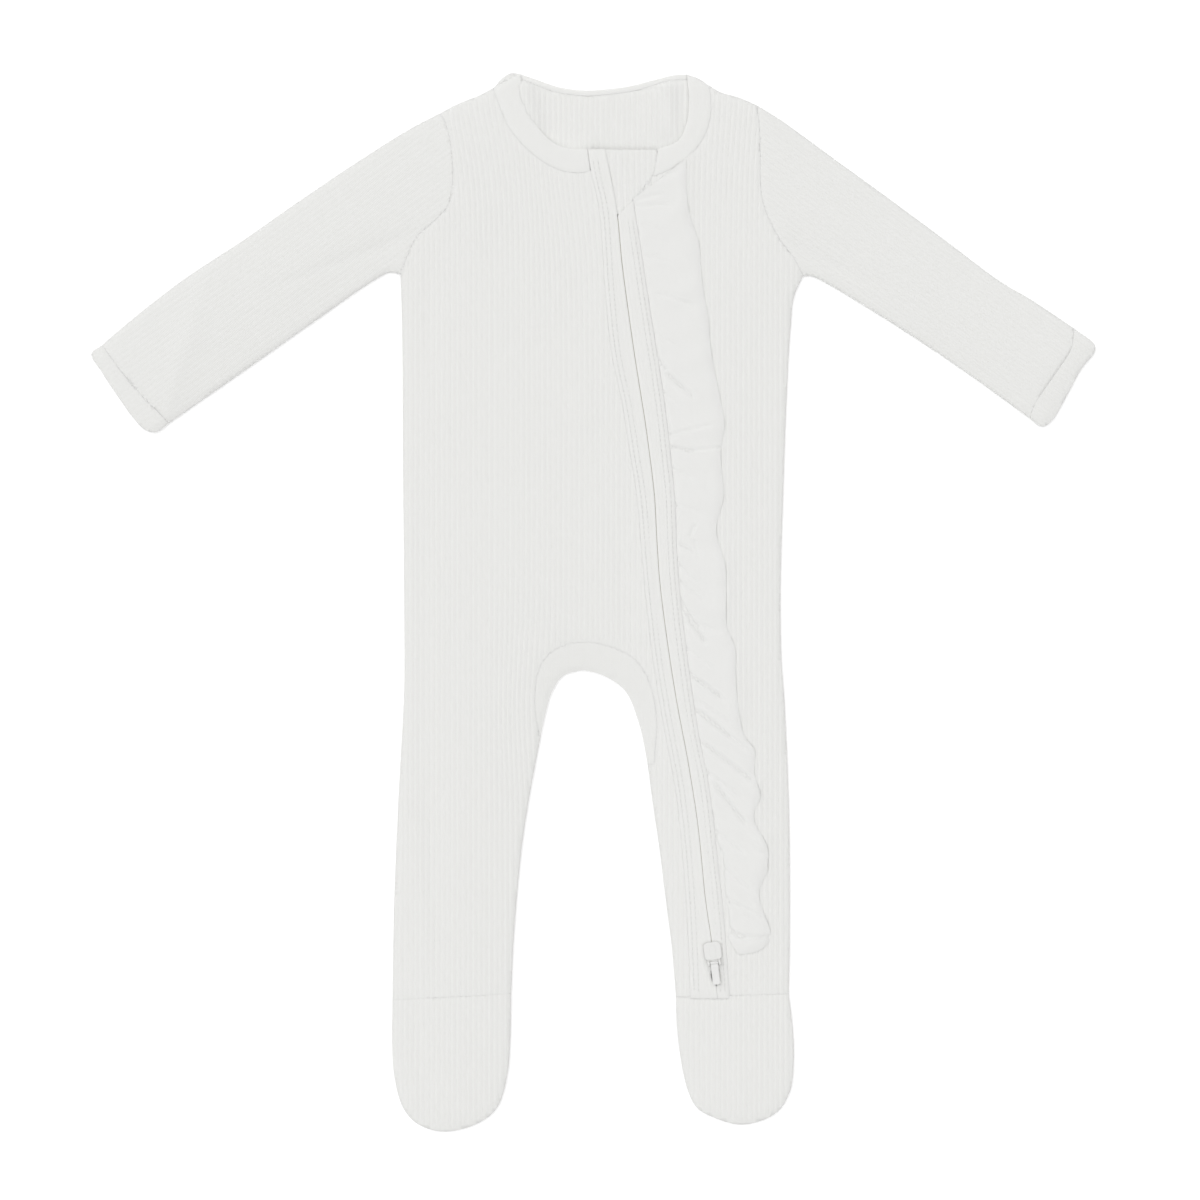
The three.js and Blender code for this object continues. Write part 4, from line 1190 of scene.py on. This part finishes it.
@dataclass
class Ruffle:
    """A strip of thin jersey gathered along the left placket.

    Its height is that of the ribs below plus the gathers, which grow towards the free edge,
    and its own creases. The free edge is thin and rounded.
    """

    rows: int = 520
    columns: int = 30
    thickness: float = 0.6

    def build(self) -> bpy.types.Object:
        """Builds and dresses the ruffle."""
        root = resample_count(
            shifted(between(LINES["placket_edge_left"], 228, -186), -0.5), self.rows)
        edge = resample_count(LINES["ruffle_edge"], self.rows)
        share = np.linspace(0, 1, self.columns + 1) ** 0.9
        points = root[:, None] * (1 - share[:, None]) + edge[:, None] * share[:, None]
        flat = points.reshape(-1, 2)
        x, y = flat.T
        s = np.tile(share, self.rows)
        rise = np.repeat(gather(edge[:, 1]), self.columns + 1) * np.sin(s * np.pi / 2) ** 1.3
        away = np.repeat(np.linalg.norm(edge - root, axis=1), self.columns + 1) * s
        tucked = 0.75 * np.exp(-(away / 1.6) ** 2)
        base = front_height(x, y) + CLOTH.rib_height - 0.08 + 0.22 * rise - tucked
        thickness = self.thickness * (1 - 0.7 * np.clip(s * 5 - 4, 0, 1))
        top = base + thickness
        top += ridges(x, y, RUFFLE_CREASES, 6.0)
        faces = grid_quads(self.rows, self.columns + 1)
        parts = MeshParts()
        shell(parts, flat, faces, top, top - thickness)
        piece = parts.write("ruffle_cloth")
        width = np.linalg.norm(edge - root, axis=1).max()
        length = np.linalg.norm(np.diff(edge, axis=0), axis=1).sum()
        sheet = Sheet(float(width) * MM, float(length) * MM, Sheet.of(flat, faces).area)
        dress(piece, JERSEY_FINISH, node="ruffle", sheet=sheet)
        return piece


@dataclass
class Beads:
    """Small closed ellipsoids set along a line: stitches or the teeth of the zip."""

    length: float
    radius: float
    sides: int = 6

    def add(self, parts: MeshParts, centres: Array, along: Array) -> None:
        """Adds one bead at each centre.

        Args:
            parts: Mesh that the beads join.
            centres: Their centres, with heights.
            along: Unit vectors of their length.
        """
        up = np.array([0.0, 0.0, 1.0])
        side = np.cross(up, along)
        side /= np.linalg.norm(side, axis=1, keepdims=True)
        top = np.cross(along, side)
        theta = np.linspace(0, np.pi, 5)[1:-1]
        phi = np.arange(self.sides) * 2 * np.pi / self.sides
        rings = [(0.5 * self.length * np.cos(t), self.radius * np.sin(t)) for t in theta]
        shape = [(0.5 * self.length, 0.0, 0.0)]
        shape += [(a, r * np.cos(f), r * np.sin(f)) for a, r in rings for f in phi]
        shape += [(-0.5 * self.length, 0.0, 0.0)]
        local = np.array(shape)
        points = (centres[:, None] + along[:, None] * local[:, :1] + side[:, None] * local[:, 1:2]
                  + top[:, None] * local[:, 2:])
        n, k = self.sides, len(local)
        j, step = np.arange(n), (np.arange(n) + 1) % n
        faces = [np.stack([np.zeros(n, int), 1 + j, 1 + step, 1 + step], axis=1)]
        for r in range(2):
            a = 1 + r * n
            faces.append(np.stack([a + j, a + n + j, a + n + step, a + step], axis=1))
        last = 1 + 2 * n
        faces.append(np.stack([last + j, np.full(n, k - 1), last + step, last + step], axis=1))
        one = np.vstack(faces)
        all_faces = (one[None] + (np.arange(len(centres)) * k)[:, None, None]).reshape(-1, 4)
        parts.add(points.reshape(-1, 3), all_faces)


def stitch_row(parts: MeshParts, line: Array, height: Height, pitch: float = 2.9) -> None:
    """Adds a row of stitches along a line, lying on a surface.

    Args:
        parts: Mesh that the stitches join.
        line: The line seen from above.
        height: Height of the surface.
        pitch: Distance between stitches.
    """
    path = resample(line, pitch)
    x, y = path.T
    z = height(x, y)
    centres = np.column_stack([x, y, z])
    middle = (centres[1:] + centres[:-1]) / 2
    along = centres[1:] - centres[:-1]
    along /= np.linalg.norm(along, axis=1, keepdims=True)
    Beads(length=2.2, radius=0.17).add(parts, middle, along)


def half_slot(y: Array) -> Array:
    """Half the slot between the plackets: nearly shut, but wide beside the pull.

    Args:
        y: Heights along the zip.

    Returns:
        Half the slot's width at each height.
    """
    t = np.clip((RECESS_TOP - y) / (RECESS_TOP - RECESS_END), 0, 1)
    narrowing = np.interp(y, (RECESS_END, RECESS_TOP, ZIP_TOP), (0.0, 0.12, CLOTH.half_slot))
    return np.where(y > ZIP_TOP, 0.05, narrowing + CLOTH.recess * np.sin(np.pi * t))


def heights(top: float, bottom: float, step: float) -> Array:
    """Even heights from one to another."""
    return np.linspace(top, bottom, max(2, round(abs(top - bottom) / step)) + 1)


def on_line(name: str, y: Array, moved: Array | float = 0.0) -> Array:
    """Points on a named line at a list of heights, moved across."""
    return np.column_stack([x_at(LINES[name], y) + moved, y])


@dataclass(frozen=True)
class Slider:
    """The zip's slider and its pull, made about the hinge between them.

    X runs along the hinge, Y up the zip and Z from the seat on the plackets.
    """

    hinge: tuple[float, float, float] = (68.227, -204.0, 6.198)
    tilt: float = 0.122817
    width: float = 10.0
    length: float = 10.5
    thickness: float = 1.2
    pull_width: float = 5.0
    tab_half: float = 2.1
    pull_length: float = 12.5
    barrel: float = 0.8
    pin: float = 0.45
    lug_width: float = 1.3
    lug_radius: float = 1.6
    axis_height: float = 2.0
    enamel: tuple[float, float, float] = (0.76, 0.76, 0.745)

    def place(self, points: Array) -> Array:
        """Points about the hinge, moved into the garment's frame."""
        cos, sin = math.cos(self.tilt), math.sin(self.tilt)
        x, y, z = points.T
        return np.column_stack([x * cos - y * sin, x * sin + y * cos, z]) + np.array(self.hinge)

    def pillow(self, parts: MeshParts, half: float, low: float, high: float, corner: float,
               bottom: float, top: float, round_over: float, dish: float = 0.0) -> None:
        """Adds a plate with rounded corners and rounded upper and lower edges.

        Args:
            parts: Mesh that it joins.
            half: Half its width.
            low: Lower end along Y.
            high: Upper end along Y.
            corner: Radius of its corners.
            bottom: Height of its lower face.
            top: Height of its upper face.
            round_over: Radius of the rounding of its edges.
            dish: How far its upper face sinks towards the middle.
        """
        turns = 48
        a = np.arange(turns) * 2 * np.pi / turns
        cx, cy = np.sign(np.cos(a)), np.sign(np.sin(a))
        middle = (low + high) / 2
        outline = np.stack([
            cx * (half - corner) + corner * np.cos(a),
            middle + cy * ((high - low) / 2 - corner) + corner * np.sin(a),
        ], axis=1)
        centre = np.array([0, middle])
        q = np.linspace(0, np.pi / 2, 6)
        rings = []
        for level, z0, sign in ((bottom, bottom + round_over, -1), (top, top - round_over, 1)):
            ring = [(round_over * (1 - np.cos(t)), z0 + sign * round_over * np.sin(t)) for t in q]
            rings.append(ring if sign > 0 else ring[::-1])
        inner = [(0.35, top - dish * 0.4), (0.7, top - dish)]
        points = [np.append(centre, bottom)[None]]
        scale = np.array([half, (high - low) / 2])
        for inset, z in rings[0] + rings[1]:
            shrink = 1 - inset / scale
            ring = centre + (outline - centre) * shrink
            points.append(np.column_stack([ring, np.full(turns, z)]))
        for share, z in inner:
            ring = centre + (outline - centre) * (1 - round_over / scale) * (1 - share)
            points.append(np.column_stack([ring, np.full(turns, z)]))
        points.append(np.append(centre, top - dish)[None])
        parts.add(self.place(np.vstack(points)), capped_rings(turns, len(points) - 2))

    def lathe(self, parts: MeshParts, profile: list[tuple[float, float]], z: float) -> None:
        """Adds a body turned about the hinge's axis.

        Args:
            parts: Mesh that it joins.
            profile: Rows of place along the axis and radius, closed at both ends by 0.
            z: Height of the axis.
        """
        turns = 24
        a = np.arange(turns) * 2 * np.pi / turns
        points = [np.array([[profile[0][0], 0, z]])]
        for x, r in profile[1:-1]:
            points.append(np.column_stack([np.full(turns, x), r * np.cos(a), z + r * np.sin(a)]))
        points.append(np.array([[profile[-1][0], 0, z]]))
        parts.add(self.place(np.vstack(points)), capped_rings(turns, len(profile) - 2))

    def build_slider(self) -> bpy.types.Object:
        """The slider's plate with its waist, post and the two lugs that carry the pull."""
        parts = MeshParts()
        edge = self.barrel + 0.4
        self.pillow(parts, self.width / 2, edge, edge + self.length, 2.6, 0.0, self.thickness, 0.65, 0.1)
        self.pillow(parts, self.pull_width / 2, -0.6, edge + 0.6, 0.3, 0.0, 0.9, 0.2)
        self.pillow(parts, 0.4, edge + 2, edge + self.length - 2, 0.3, -1.5, 0.2, 0.1)
        self.pillow(parts, 1.8, edge + 1.4, edge + self.length - 1.6, 1.5, self.thickness - 0.45,
                    self.thickness + 0.1, 0.25)
        inner = self.pull_width / 2
        for side in (-1, 1):
            ends = sorted((side * inner, side * (inner + self.lug_width)))
            r, hole = self.lug_radius, 0.75
            self.ring(parts, ends[0], ends[1], r, hole)
        piece = parts.write("zip_slider_body")
        dress(piece, Enamel("slider enamel", self.enamel), node="zip_slider")
        return piece

    def ring(self, parts: MeshParts, start: float, end: float, radius: float, hole: float) -> None:
        """Adds a lug: a ring about the hinge with a foot that reaches down to the plate.

        Args:
            parts: Mesh that it joins.
            start: Its first side along the hinge.
            end: Its last side.
            radius: Its outer radius.
            hole: Radius of the hole for the pin.
        """
        turns = 32
        a = np.arange(turns) * 2 * np.pi / turns
        y, z = radius * np.cos(a), radius * np.sin(a)
        low = z < 0
        y = np.where(low, np.sign(y) * np.maximum(np.abs(y), radius * 0.97), y)
        z = np.where(low & (np.abs(np.cos(a)) < 0.999), -(self.axis_height - 0.1), z)
        y = np.where(low, radius * np.clip(np.cos(a) * 1.3, -1, 1), y)
        outer = np.column_stack([y, z])
        inner = np.column_stack([hole * np.cos(a), hole * np.sin(a)])
        bevel = 0.25
        sections = [(start, inner), (start, outer * (1 - bevel / radius)), (start + bevel, outer),
                    (end - bevel, outer), (end, outer * (1 - bevel / radius)), (end, inner)]
        points = np.vstack([
            np.column_stack([np.full(turns, x), s[:, 0], s[:, 1] + self.axis_height])
            for x, s in sections])
        j, step = np.arange(turns), (np.arange(turns) + 1) % turns
        faces = []
        for r in range(len(sections)):
            b, c = r * turns, (r + 1) % len(sections) * turns
            faces.append(np.stack([b + j, b + step, c + step, c + j], axis=1))
        parts.add(self.place(points), np.vstack(faces))

    def build_pull(self) -> bpy.types.Object:
        """The pull: a flat tab with a raised rim, its link, and the pin through the lugs."""
        parts = MeshParts()
        half = self.pull_width / 2
        z = self.axis_height
        low = z - self.barrel
        neck = half - 0.3
        self.pillow(parts, self.tab_half, -self.pull_length, -2.4, 1.0, low, low + 1.0, 0.35, 0.3)
        self.pillow(parts, neck, -3.6, 0.2, 0.5, low, low + 0.9, 0.3)
        self.lathe(parts, [(-neck, 0), (-neck, 0.6), (-neck + 0.2, self.barrel),
                           (neck - 0.2, self.barrel), (neck, 0.6), (neck, 0)], z)
        reach = half + self.lug_width
        self.lathe(parts, [(-reach, 0), (-reach, self.pin - 0.1), (-reach + 0.1, self.pin),
                           (reach - 0.1, self.pin), (reach, self.pin - 0.1), (reach, 0)], z)
        piece = parts.write("zip_pull_tab")
        dress(piece, Enamel("pull enamel", (0.77, 0.77, 0.76)), body=Body.PULL, node="zip_pull")
        return piece


@dataclass
class Garment:
    """All pieces of the sleepsuit."""

    tuck: float = CLOTH.tuck

    def build(self) -> None:
        """Builds every piece, from the back to the slider."""
        self.build_backs()
        self.build_fronts()
        self.build_neck()
        self.build_zip()
        self.build_sleeves()
        Ruffle().build()
        self.build_stitches()
        slider = Slider()
        slider.build_slider()
        slider.build_pull()

    def foot_loop(self, toe: str, ankle: Array) -> Array:
        """A foot's loop with its open end on the ankle seam.

        Args:
            toe: Name of the foot's outline.
            ankle: Ends of its ankle seam.

        Returns:
            The loop.
        """
        loop = joined(LINES[toe])
        line = np.interp(loop[:, 0], ankle[:, 0], ankle[:, 1])
        return np.column_stack([loop[:, 0], np.minimum(loop[:, 1], line)])

    def build_backs(self) -> None:
        """The back with its neck window, and the soles."""
        c = LINES
        neck = shifted(c["neck_back"], -1.5)
        loop = joined(
            c["neck_top_right"], neck, c["neck_top_left"][::-1], c["shoulder_left"],
            c["armhole_left"], between(c["side_left"], 185, -222), ANKLE_LEFT[::-1],
            between(c["inseam_left"], -38.6, -224)[::-1], between(c["inseam_right"], -38.6, -222),
            ANKLE_RIGHT[::-1], between(c["side_right"], 186, -225.5)[::-1],
            c["armhole_right"][::-1], c["shoulder_right"][::-1],
        )
        window = joined(
            shifted(c["binding_inner_right"], -5), shifted(c["binding_inner_left"], 5)[::-1],
        )
        back = c["neck_back"]
        back = resample(back, 1.5)
        hem = Ribbon("neck_binding_back_cloth", "neck_binding_back", shifted(back, -3.0), back,
                     lambda x, y: np.zeros_like(x), CLOTH.wall + 0.3, Slot.SMOOTH, SMOOTH_FINISH,
                     (), round=1.5, lip=0.84, middle=3, sheet=False).build()
        BackPanel("back_panel_cloth", "back_panel", loop, window, (hem,)).build()
        BackPanel("right_sole_cloth", "right_sole", self.foot_loop("toe_right", ANKLE_RIGHT)).build()
        BackPanel("left_sole_cloth", "left_sole", self.foot_loop("toe_left", ANKLE_LEFT)).build()

    def build_fronts(self) -> None:
        """The two fronts, the foot tops, the crotch band and the guard under the chin."""
        c, tuck = LINES, self.tuck
        gusset = c["gusset_edge"]
        right = joined(
            c["shoulder_right"], c["armhole_right"], between(c["side_right"], 186, -225.5),
            ANKLE_RIGHT, between(c["inseam_right"], -75.8, -222)[::-1],
            shifted(gusset, -tuck), between(c["inseam_left"], -91.8, -224),
            shifted(between(c["placket_edge_right"], 243.7, FRONT_END), tuck)[::-1],
            shifted(c["binding_outer_right"], tuck)[::-1],
        )
        Panel("front_right_cloth", "front_right", right, ("back_panel_cloth",)).build()
        left = joined(
            shifted(between(c["placket_edge_left"], 228, FRONT_END), -tuck)[::-1],
            shifted(between(c["chin_guard_edge"], 239.5, 230), -0.1)[::-1],
            shifted(c["binding_outer_left"], -tuck)[::-1], c["shoulder_left"],
            c["armhole_left"], between(c["side_left"], 185, -222), ANKLE_LEFT[::-1],
        )
        Panel("front_left_cloth", "front_left", left, ("back_panel_cloth",)).build()
        for word, ankle, way in (("right", ANKLE_RIGHT, -1), ("left", ANKLE_LEFT, 1)):

            def tucked(x: Array, y: Array) -> Array:
                """How far a point of the foot lies under the front."""
                return y - np.interp(x, ankle[:, 0], ankle[:, 1])

            hidden = ankle[::way] + np.array([[0.4 * way, tuck], [-0.4 * way, tuck]])
            loop = joined(self.foot_loop(f"toe_{word}", ankle), hidden)
            Panel(f"{word}_foot_cloth", f"{word}_foot_top", loop, (f"{word}_sole_cloth",),
                  tucked=tucked).build()
        guard_y = heights(NECK_EDGE, ZIP_TOP + 1, 2)
        guard = joined(on_line("zip_line", guard_y, -tuck), shifted(c["chin_guard_edge"], 2 * tuck)[::-1])
        Panel("chin_guard_cloth", "chin_guard", guard, ("back_panel_cloth",)).build()
        crotch = joined(between(c["inseam_right"], -38.6, -76)[::-1], between(c["inseam_left"], -38.6, -92))
        rows = 110
        Ribbon("crotch_band_cloth", "crotch_gusset", resample_count(gusset, rows),
               resample_count(crotch, rows), inner_face, CLOTH.wall + 0.1, Slot.RIB, RIB_FINISH,
               ("back_panel_cloth",), round=2.4, lip=0.86, roll_edges=True).build()

    def build_neck(self) -> None:
        """The binding's two arms on the front."""
        c, rows = LINES, 90
        Ribbon("neck_binding_right_cloth", "neck_binding_right",
               resample_count(c["binding_outer_right"], rows),
               resample_count(c["binding_inner_right"], rows), inner_face, CLOTH.binding,
               Slot.SMOOTH, SMOOTH_FINISH, ("back_panel_cloth",), round=3.4, lip=0.74,
               roll_edges=True, foot="right", ends=3.0).build()
        Ribbon("neck_binding_left_cloth", "neck_binding_left",
               resample_count(c["binding_inner_left"], rows),
               resample_count(c["binding_outer_left"], rows), inner_face, CLOTH.binding,
               Slot.SMOOTH, SMOOTH_FINISH, ("back_panel_cloth",), round=3.4, lip=0.74,
               roll_edges=True, foot="left", ends=3.0).build()

    def build_zip(self) -> None:
        """Tape, teeth and the two plackets."""
        tape_y = heights(ZIP_TOP - 0.3, TAPE_END, 3)
        Ribbon("zip_tape_cloth", "zip_tape", on_line("placket_edge_right", tape_y, 0.6),
               on_line("placket_edge_left", tape_y, -0.6), inner_face, CLOTH.tape, Slot.TAPE,
               Knit("zip tape", (0.62, 0.61, 0.55), sheen=0.05, loop_size=0.5),
               ("back_panel_cloth",), round=0.4).build()
        seat = CLOTH.tape + CLOTH.gap

        def low(x: Array, y: Array) -> Array:
            """Height of the plackets' underside."""
            return inner_face(x, y) + seat

        right_y = np.concatenate([heights(NECK_EDGE, ZIP_TOP + 0.15, 1.5),
                                  heights(ZIP_TOP - 0.15, -204, 1.5), heights(-205, PLACKET_END, 0.8)])
        Ribbon("right_placket_cloth", "right_placket", on_line("placket_edge_right", right_y),
               on_line("zip_line", right_y, -half_slot(right_y)), low, CLOTH.placket, Slot.SMOOTH,
               SMOOTH_FINISH, ("zip_tape_cloth", "back_panel_cloth"), round=3.0, lip=0.45,
               ends=7.0, end_lip=0.28,
               crisp="right", grooves=(2.2, 4.8)).build()
        left_y = np.concatenate([heights(ZIP_TOP - 0.15, -204, 1.5), heights(-205, PLACKET_END, 0.8)])
        t = np.clip((left_y - 190) / (ZIP_TOP - 1 - 190), 0, 1)
        slanted = left_y + 8.5 * t * t * (3 - 2 * t)
        Ribbon("left_placket_cloth", "left_placket", on_line("zip_line", left_y, half_slot(left_y)),
               on_line("placket_edge_left", slanted), low, CLOTH.placket, Slot.SMOOTH,
               SMOOTH_FINISH, ("zip_tape_cloth", "back_panel_cloth"), round=3.0, lip=0.45,
               ends=7.0, end_lip=0.28,
               crisp="left", grooves=(2.2, 4.8)).build()
        parts = MeshParts()
        coil = on_line("zip_line", heights(ZIP_TOP - 2, -201, 0.62))
        shift = np.where(np.arange(len(coil)) % 2, 0.25, -0.25)
        x, y = coil[:, 0] + shift, coil[:, 1]
        centres = np.column_stack([x, y, inner_face(x, y) + CLOTH.tape + 0.75])
        Beads(length=1.5, radius=0.42).add(parts, centres, np.tile([1.0, 0.0, 0.0], (len(coil), 1)))
        piece = parts.write("zip_teeth")
        dress(piece, Knit("coil", (0.52, 0.51, 0.42), roughness=0.5, sheen=0, loops=0.1))

    def build_sleeves(self) -> None:
        """Sleeves and cuffs, as flattened tubes."""
        c = LINES
        for word in ("right", "left"):
            top, seam = c[f"sleeve_top_{word}"], c[f"cuff_seam_{word}"]
            armhole, under, end = c[f"armhole_{word}"], c[f"underarm_{word}"], c[f"cuff_end_{word}"]
            along = top[0] - top[-1]
            turn = math.atan2(-along[0], along[1])
            inward = 1 if word == "right" else -1

            def tucked(x: Array, y: Array) -> Array:
                """How far a point of the sleeve lies under the front or the cuff."""
                under_front = (x - x_at(armhole, y)) * inward
                under_cuff = 0.8 * (x_at(seam, y) - x) * inward
                return np.maximum(under_front, under_cuff)

            hidden = shifted(armhole, self.tuck * inward)[2:-2]
            below = shifted(seam, -self.tuck * inward)[2:-2]
            loop = joined(armhole[:1], hidden, armhole[-1:], under, below[::-1], top[::-1])
            Tube(f"{word}_sleeve_cloth", f"{word}_sleeve", loop, turn, tucked=tucked).build()
            cuff = joined(seam, end[::-1])
            Tube(f"{word}_cuff_cloth", f"{word}_cuff", cuff, turn,
                 cloth=CLOTH.wall + 0.15, rows=2.0).build()

    def build_stitches(self) -> None:
        """Topstitching beside the plackets."""
        parts = MeshParts()

        def on_placket(x: Array, y: Array) -> Array:
            """Bottom of a groove on the plackets."""
            return inner_face(x, y) + CLOTH.tape + CLOTH.gap + CLOTH.placket - 0.13

        for inset in (2.2, 4.8):
            y = heights(250, -221, 2)
            stitch_row(parts, on_line("placket_edge_right", y, inset), on_placket)
            y = heights(216, -221, 2)
            stitch_row(parts, on_line("placket_edge_left", y, -inset), on_placket)

        piece = parts.write("stitches")
        dress(piece, Knit("thread", (0.78, 0.78, 0.76), loops=0.1, sheen=0.1))


@dataclass(frozen=True)
class Studio:
    """Floor, soft light from the upper left, and the camera straight above."""

    scale: float = 0.567
    image: int = 1200
    middle: tuple[float, float] = (3.69, 1.13)
    lens: float = 100.0
    sensor: float = 36.0
    cloth_height: float = 3.0

    def build(self) -> None:
        """Sets the stage."""
        self.floor()
        self.world()
        self.sun("key", (-0.9, 0.8, 1.5), 1.0, 1.03)
        self.sun("fill", (0.2, -0.15, 1.0), 1.5, 1.11)
        self.camera()
        scene = bpy.context.scene
        scene.view_settings.view_transform = "Standard"
        scene.view_settings.look = "None"

    def floor(self) -> None:
        """A plain pale floor, bright enough that it takes hardly any shadow."""
        size = 4.0
        mesh = bpy.data.meshes.new("floor")
        mesh.from_pydata([(-size, -size, -0.0004), (size, -size, -0.0004), (size, size, -0.0004),
                          (-size, size, -0.0004)], [], [(0, 1, 2, 3)])
        floor = bpy.data.objects.new("floor", mesh)
        bpy.context.collection.objects.link(floor)
        material = bpy.data.materials.new("floor")
        material.use_nodes = True
        shader = material.node_tree.nodes["Principled BSDF"]
        shader.inputs["Base Color"].default_value = (0.9, 0.9, 0.9, 1)
        shader.inputs["Roughness"].default_value = 1.0
        shader.inputs["Specular IOR Level"].default_value = 0.0
        shader.inputs["Emission Color"].default_value = (1, 1, 1, 1)
        shader.inputs["Emission Strength"].default_value = 0.2
        mesh.materials.append(material)

    @staticmethod
    def world() -> None:
        """Even light from all round."""
        world = bpy.data.worlds.new("studio")
        world.use_nodes = True
        back = world.node_tree.nodes["Background"]
        back.inputs["Color"].default_value = (1, 1, 1, 1)
        back.inputs["Strength"].default_value = 0.45
        bpy.context.scene.world = world

    @staticmethod
    def sun(name: str, source: tuple[float, float, float], spread: float, strength: float) -> None:
        """A wide soft light that is even over the whole garment.

        Args:
            name: Its name.
            source: Direction that it comes from.
            spread: Angle that it fills, in radians.
            strength: Its strength.
        """
        data = bpy.data.lights.new(name, "SUN")
        data.angle = spread
        data.energy = strength
        lamp = bpy.data.objects.new(name, data)
        lamp.rotation_euler = (-Vector(source)).to_track_quat("-Z", "Y").to_euler()
        bpy.context.collection.objects.link(lamp)

    def camera(self) -> None:
        """Camera straight down, its frame as wide as the photograph."""
        data = bpy.data.cameras.new("camera")
        data.lens = self.lens
        data.sensor_width = self.sensor
        width = self.scale * self.image * MM
        camera = bpy.data.objects.new("camera", data)
        height = width * self.lens / self.sensor + self.cloth_height * MM
        camera.location = (self.middle[0] * MM, self.middle[1] * MM, height)
        bpy.context.collection.objects.link(camera)
        bpy.context.scene.camera = camera


def main() -> None:
    """Builds the garment and its stage."""
    Garment().build()
    Studio().build()


if __name__ == "__main__":
    main()
